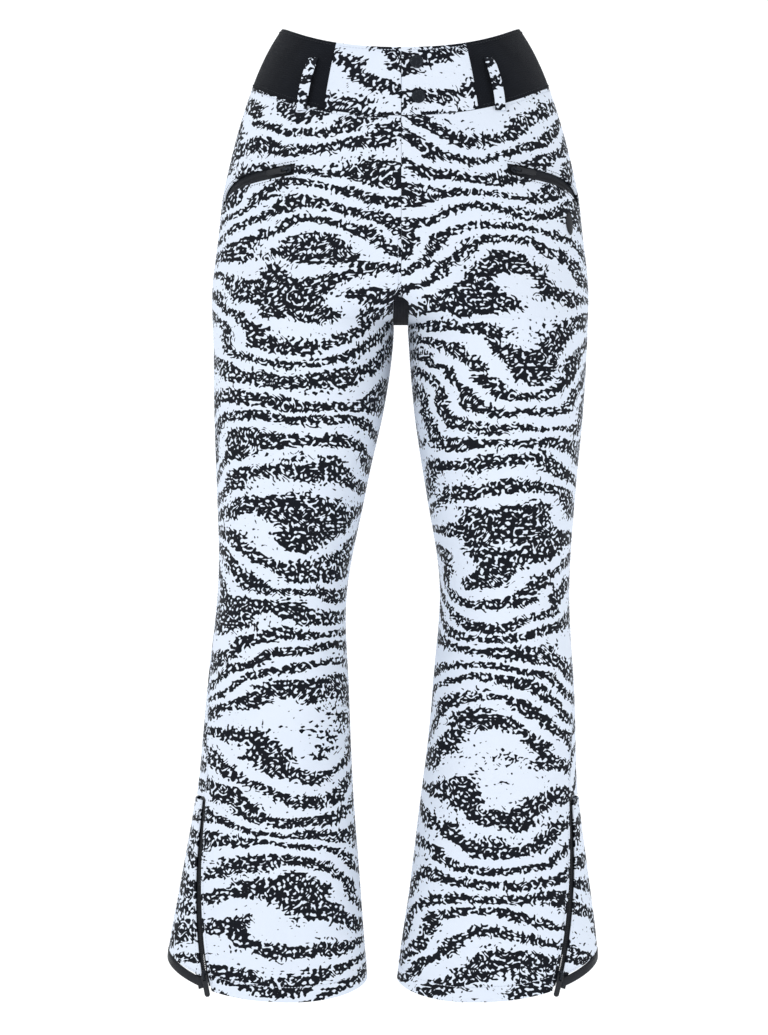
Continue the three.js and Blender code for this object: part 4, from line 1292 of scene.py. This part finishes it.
# %% Stitch helper
def stitch_rows(name, lines, material, body="root", pitch=3.4, thick=0.42):
    """lines are lists of (side, angles, heights, depth)."""
    places = []
    for side, angle, z, depth in lines:
        line = skin(side, angle, z, depth)
        up = outward(side, angle, z)
        run = np.concatenate([[0], np.linalg.norm(np.diff(line, axis=0), axis=1).cumsum()])
        stops = np.arange(pitch / 2, run[-1], pitch)
        spots, ahead, back = (
            np.stack([np.interp(stops + step, run, line[:, k]) for k in range(3)], -1)
            for step in (0, 0.5, -0.5)
        )
        normals = np.stack([np.interp(stops, run, up[:, k]) for k in range(3)], -1)
        for spot, direction, normal in zip(spots, ahead - back, normals):
            along = Vector(direction).normalized()
            normal = (Vector(normal) - along * along.dot(Vector(normal))).normalized()
            grid = Matrix((along, normal.cross(along), normal)).transposed().to_4x4()
            size = Matrix.Diagonal((pitch * 0.40 * MM, thick * MM, thick * 0.8 * MM, 1))
            places.append(Matrix.Translation(Vector(spot) * MM) @ grid @ size)

    def one_stitch(bm, matrix):
        return bmesh.ops.create_uvsphere(bm, u_segments=6, v_segments=4, radius=1, matrix=matrix)

    obj = mesh_object(name, in_batches(places, one_stitch), material)
    obj.data.shade_smooth()
    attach(obj, body)
    print(name, len(places), "stitches")
    return obj


# %% Rows of thread
ON_CLOTH = 0.12


def upright(side, angle_at, low, high, count=240):
    z = np.linspace(low, high, count)
    angle = angle_at(z)
    return side, angle, z, slack(side, angle, z) + ON_CLOTH


def level(side, start, finish, height_at, raised=0.0, count=200):
    angle = np.linspace(start, finish, count)
    z = height_at(angle)
    return side, angle, z, slack(side, angle, z) + raised + ON_CLOTH


def beside(path, side, start, finish, distance, count=120):
    t = np.linspace(start, finish, count)
    angle, z = off_path(side, path, t, distance)
    return side, angle, z, slack(side, angle, z) + ON_CLOTH


pale, dark = [], []
for name, side in SIDES:
    pale.append(upright(side, lambda z: side_seam(z) + turn(side, side_seam(z), z, 3.0), ZIP_TOP + 6, -84))
    pale.append(upright(side, lambda z: math.pi - turn(side, math.pi + 0 * z, z, 3.0), HEM + 16, CROTCH - 4))
    hem_front = float(side_seam(np.array(HEM, float)))
    pale.append(level(side, hem_front + 0.09, math.pi - 0.05, lambda a: hem_line(a) + 16))
    pale.append(level(side, -math.pi + 0.05, hem_front - 0.14, lambda a: hem_line(a) + 13.5, 0.6))
    dark.append(level(side, -math.pi + 0.25, hem_front - 0.16, lambda a: hem_line(a) + 8, 1.35))
    for distance in (-(POCKET_SLIT + 2.2), POCKET_SLIT + 2.2):
        dark.append(beside(pocket_path, side, 0.0, 1.0, distance))
    for distance in (-(LEG_SLIT + 2.4), LEG_SLIT + 2.4):
        pale.append(beside(leg_path, side, 0.03, 0.90 if distance < 0 else 0.975, distance))
    top_depth = 0.65 if side < 0 else 0.2
    pale.append(
        level(side, STRETCH_FRONT + 0.03, math.pi / 2 - 0.03, lambda a: waist_top(a) - 3.2, top_depth)
    )
    dark.append(level(side, STRETCH_BACK + 0.03, STRETCH_FRONT - 0.03, lambda a: waist_top(a) - 3.2, 0.65))
    dark.append(level(side, STRETCH_BACK + 0.03, STRETCH_FRONT - 0.03, lambda a: band_seam(a) + 3.2, 0.65))
    short = 0.03 if side < 0 else 0.7
    pale.append(level(side, -math.pi / 2 + 0.03, math.pi / 2 - short, lambda a: band_seam(a) - 3.4))
pale.append(level(1, STRETCH_BACK - 0.03, -math.pi - STRETCH_BACK + 0.03, lambda a: waist_top(a) - 3.2, 0.65))
pale.append(level(1, STRETCH_BACK - 0.03, -math.pi - STRETCH_BACK + 0.03, lambda a: band_seam(a) + 3.2, 0.65))
pale.append(upright(1, lambda z: -middle_angle(z) + turn(1, -middle_angle(z), z, 3.0), CROTCH + 30, -84))
pale.append(upright(-1, lambda z: middle_angle(z) - turn(-1, middle_angle(z), z, 3.0), CROTCH + 30, -212))
stitch_rows("pale_stitching", pale, pale_thread)
stitch_rows("dark_stitching", dark, dark_thread)

# %% [markdown]
# ## Join it all to the frame
#
# Every piece except the left front and the left band now rides on a body and stands for its solid, and each
# cloth piece carries the size it was cut to. The left front and the left band stand for their solids where
# they lie.

# %% Hang the panels
hang(shells["front_right"], "front_panel_right")
folds_open(shells["front_left"], ["front_panel_left", "fly_cover"])
for name, _ in SIDES:
    hang(shells[f"back_{name}"], f"back_panel_{name}")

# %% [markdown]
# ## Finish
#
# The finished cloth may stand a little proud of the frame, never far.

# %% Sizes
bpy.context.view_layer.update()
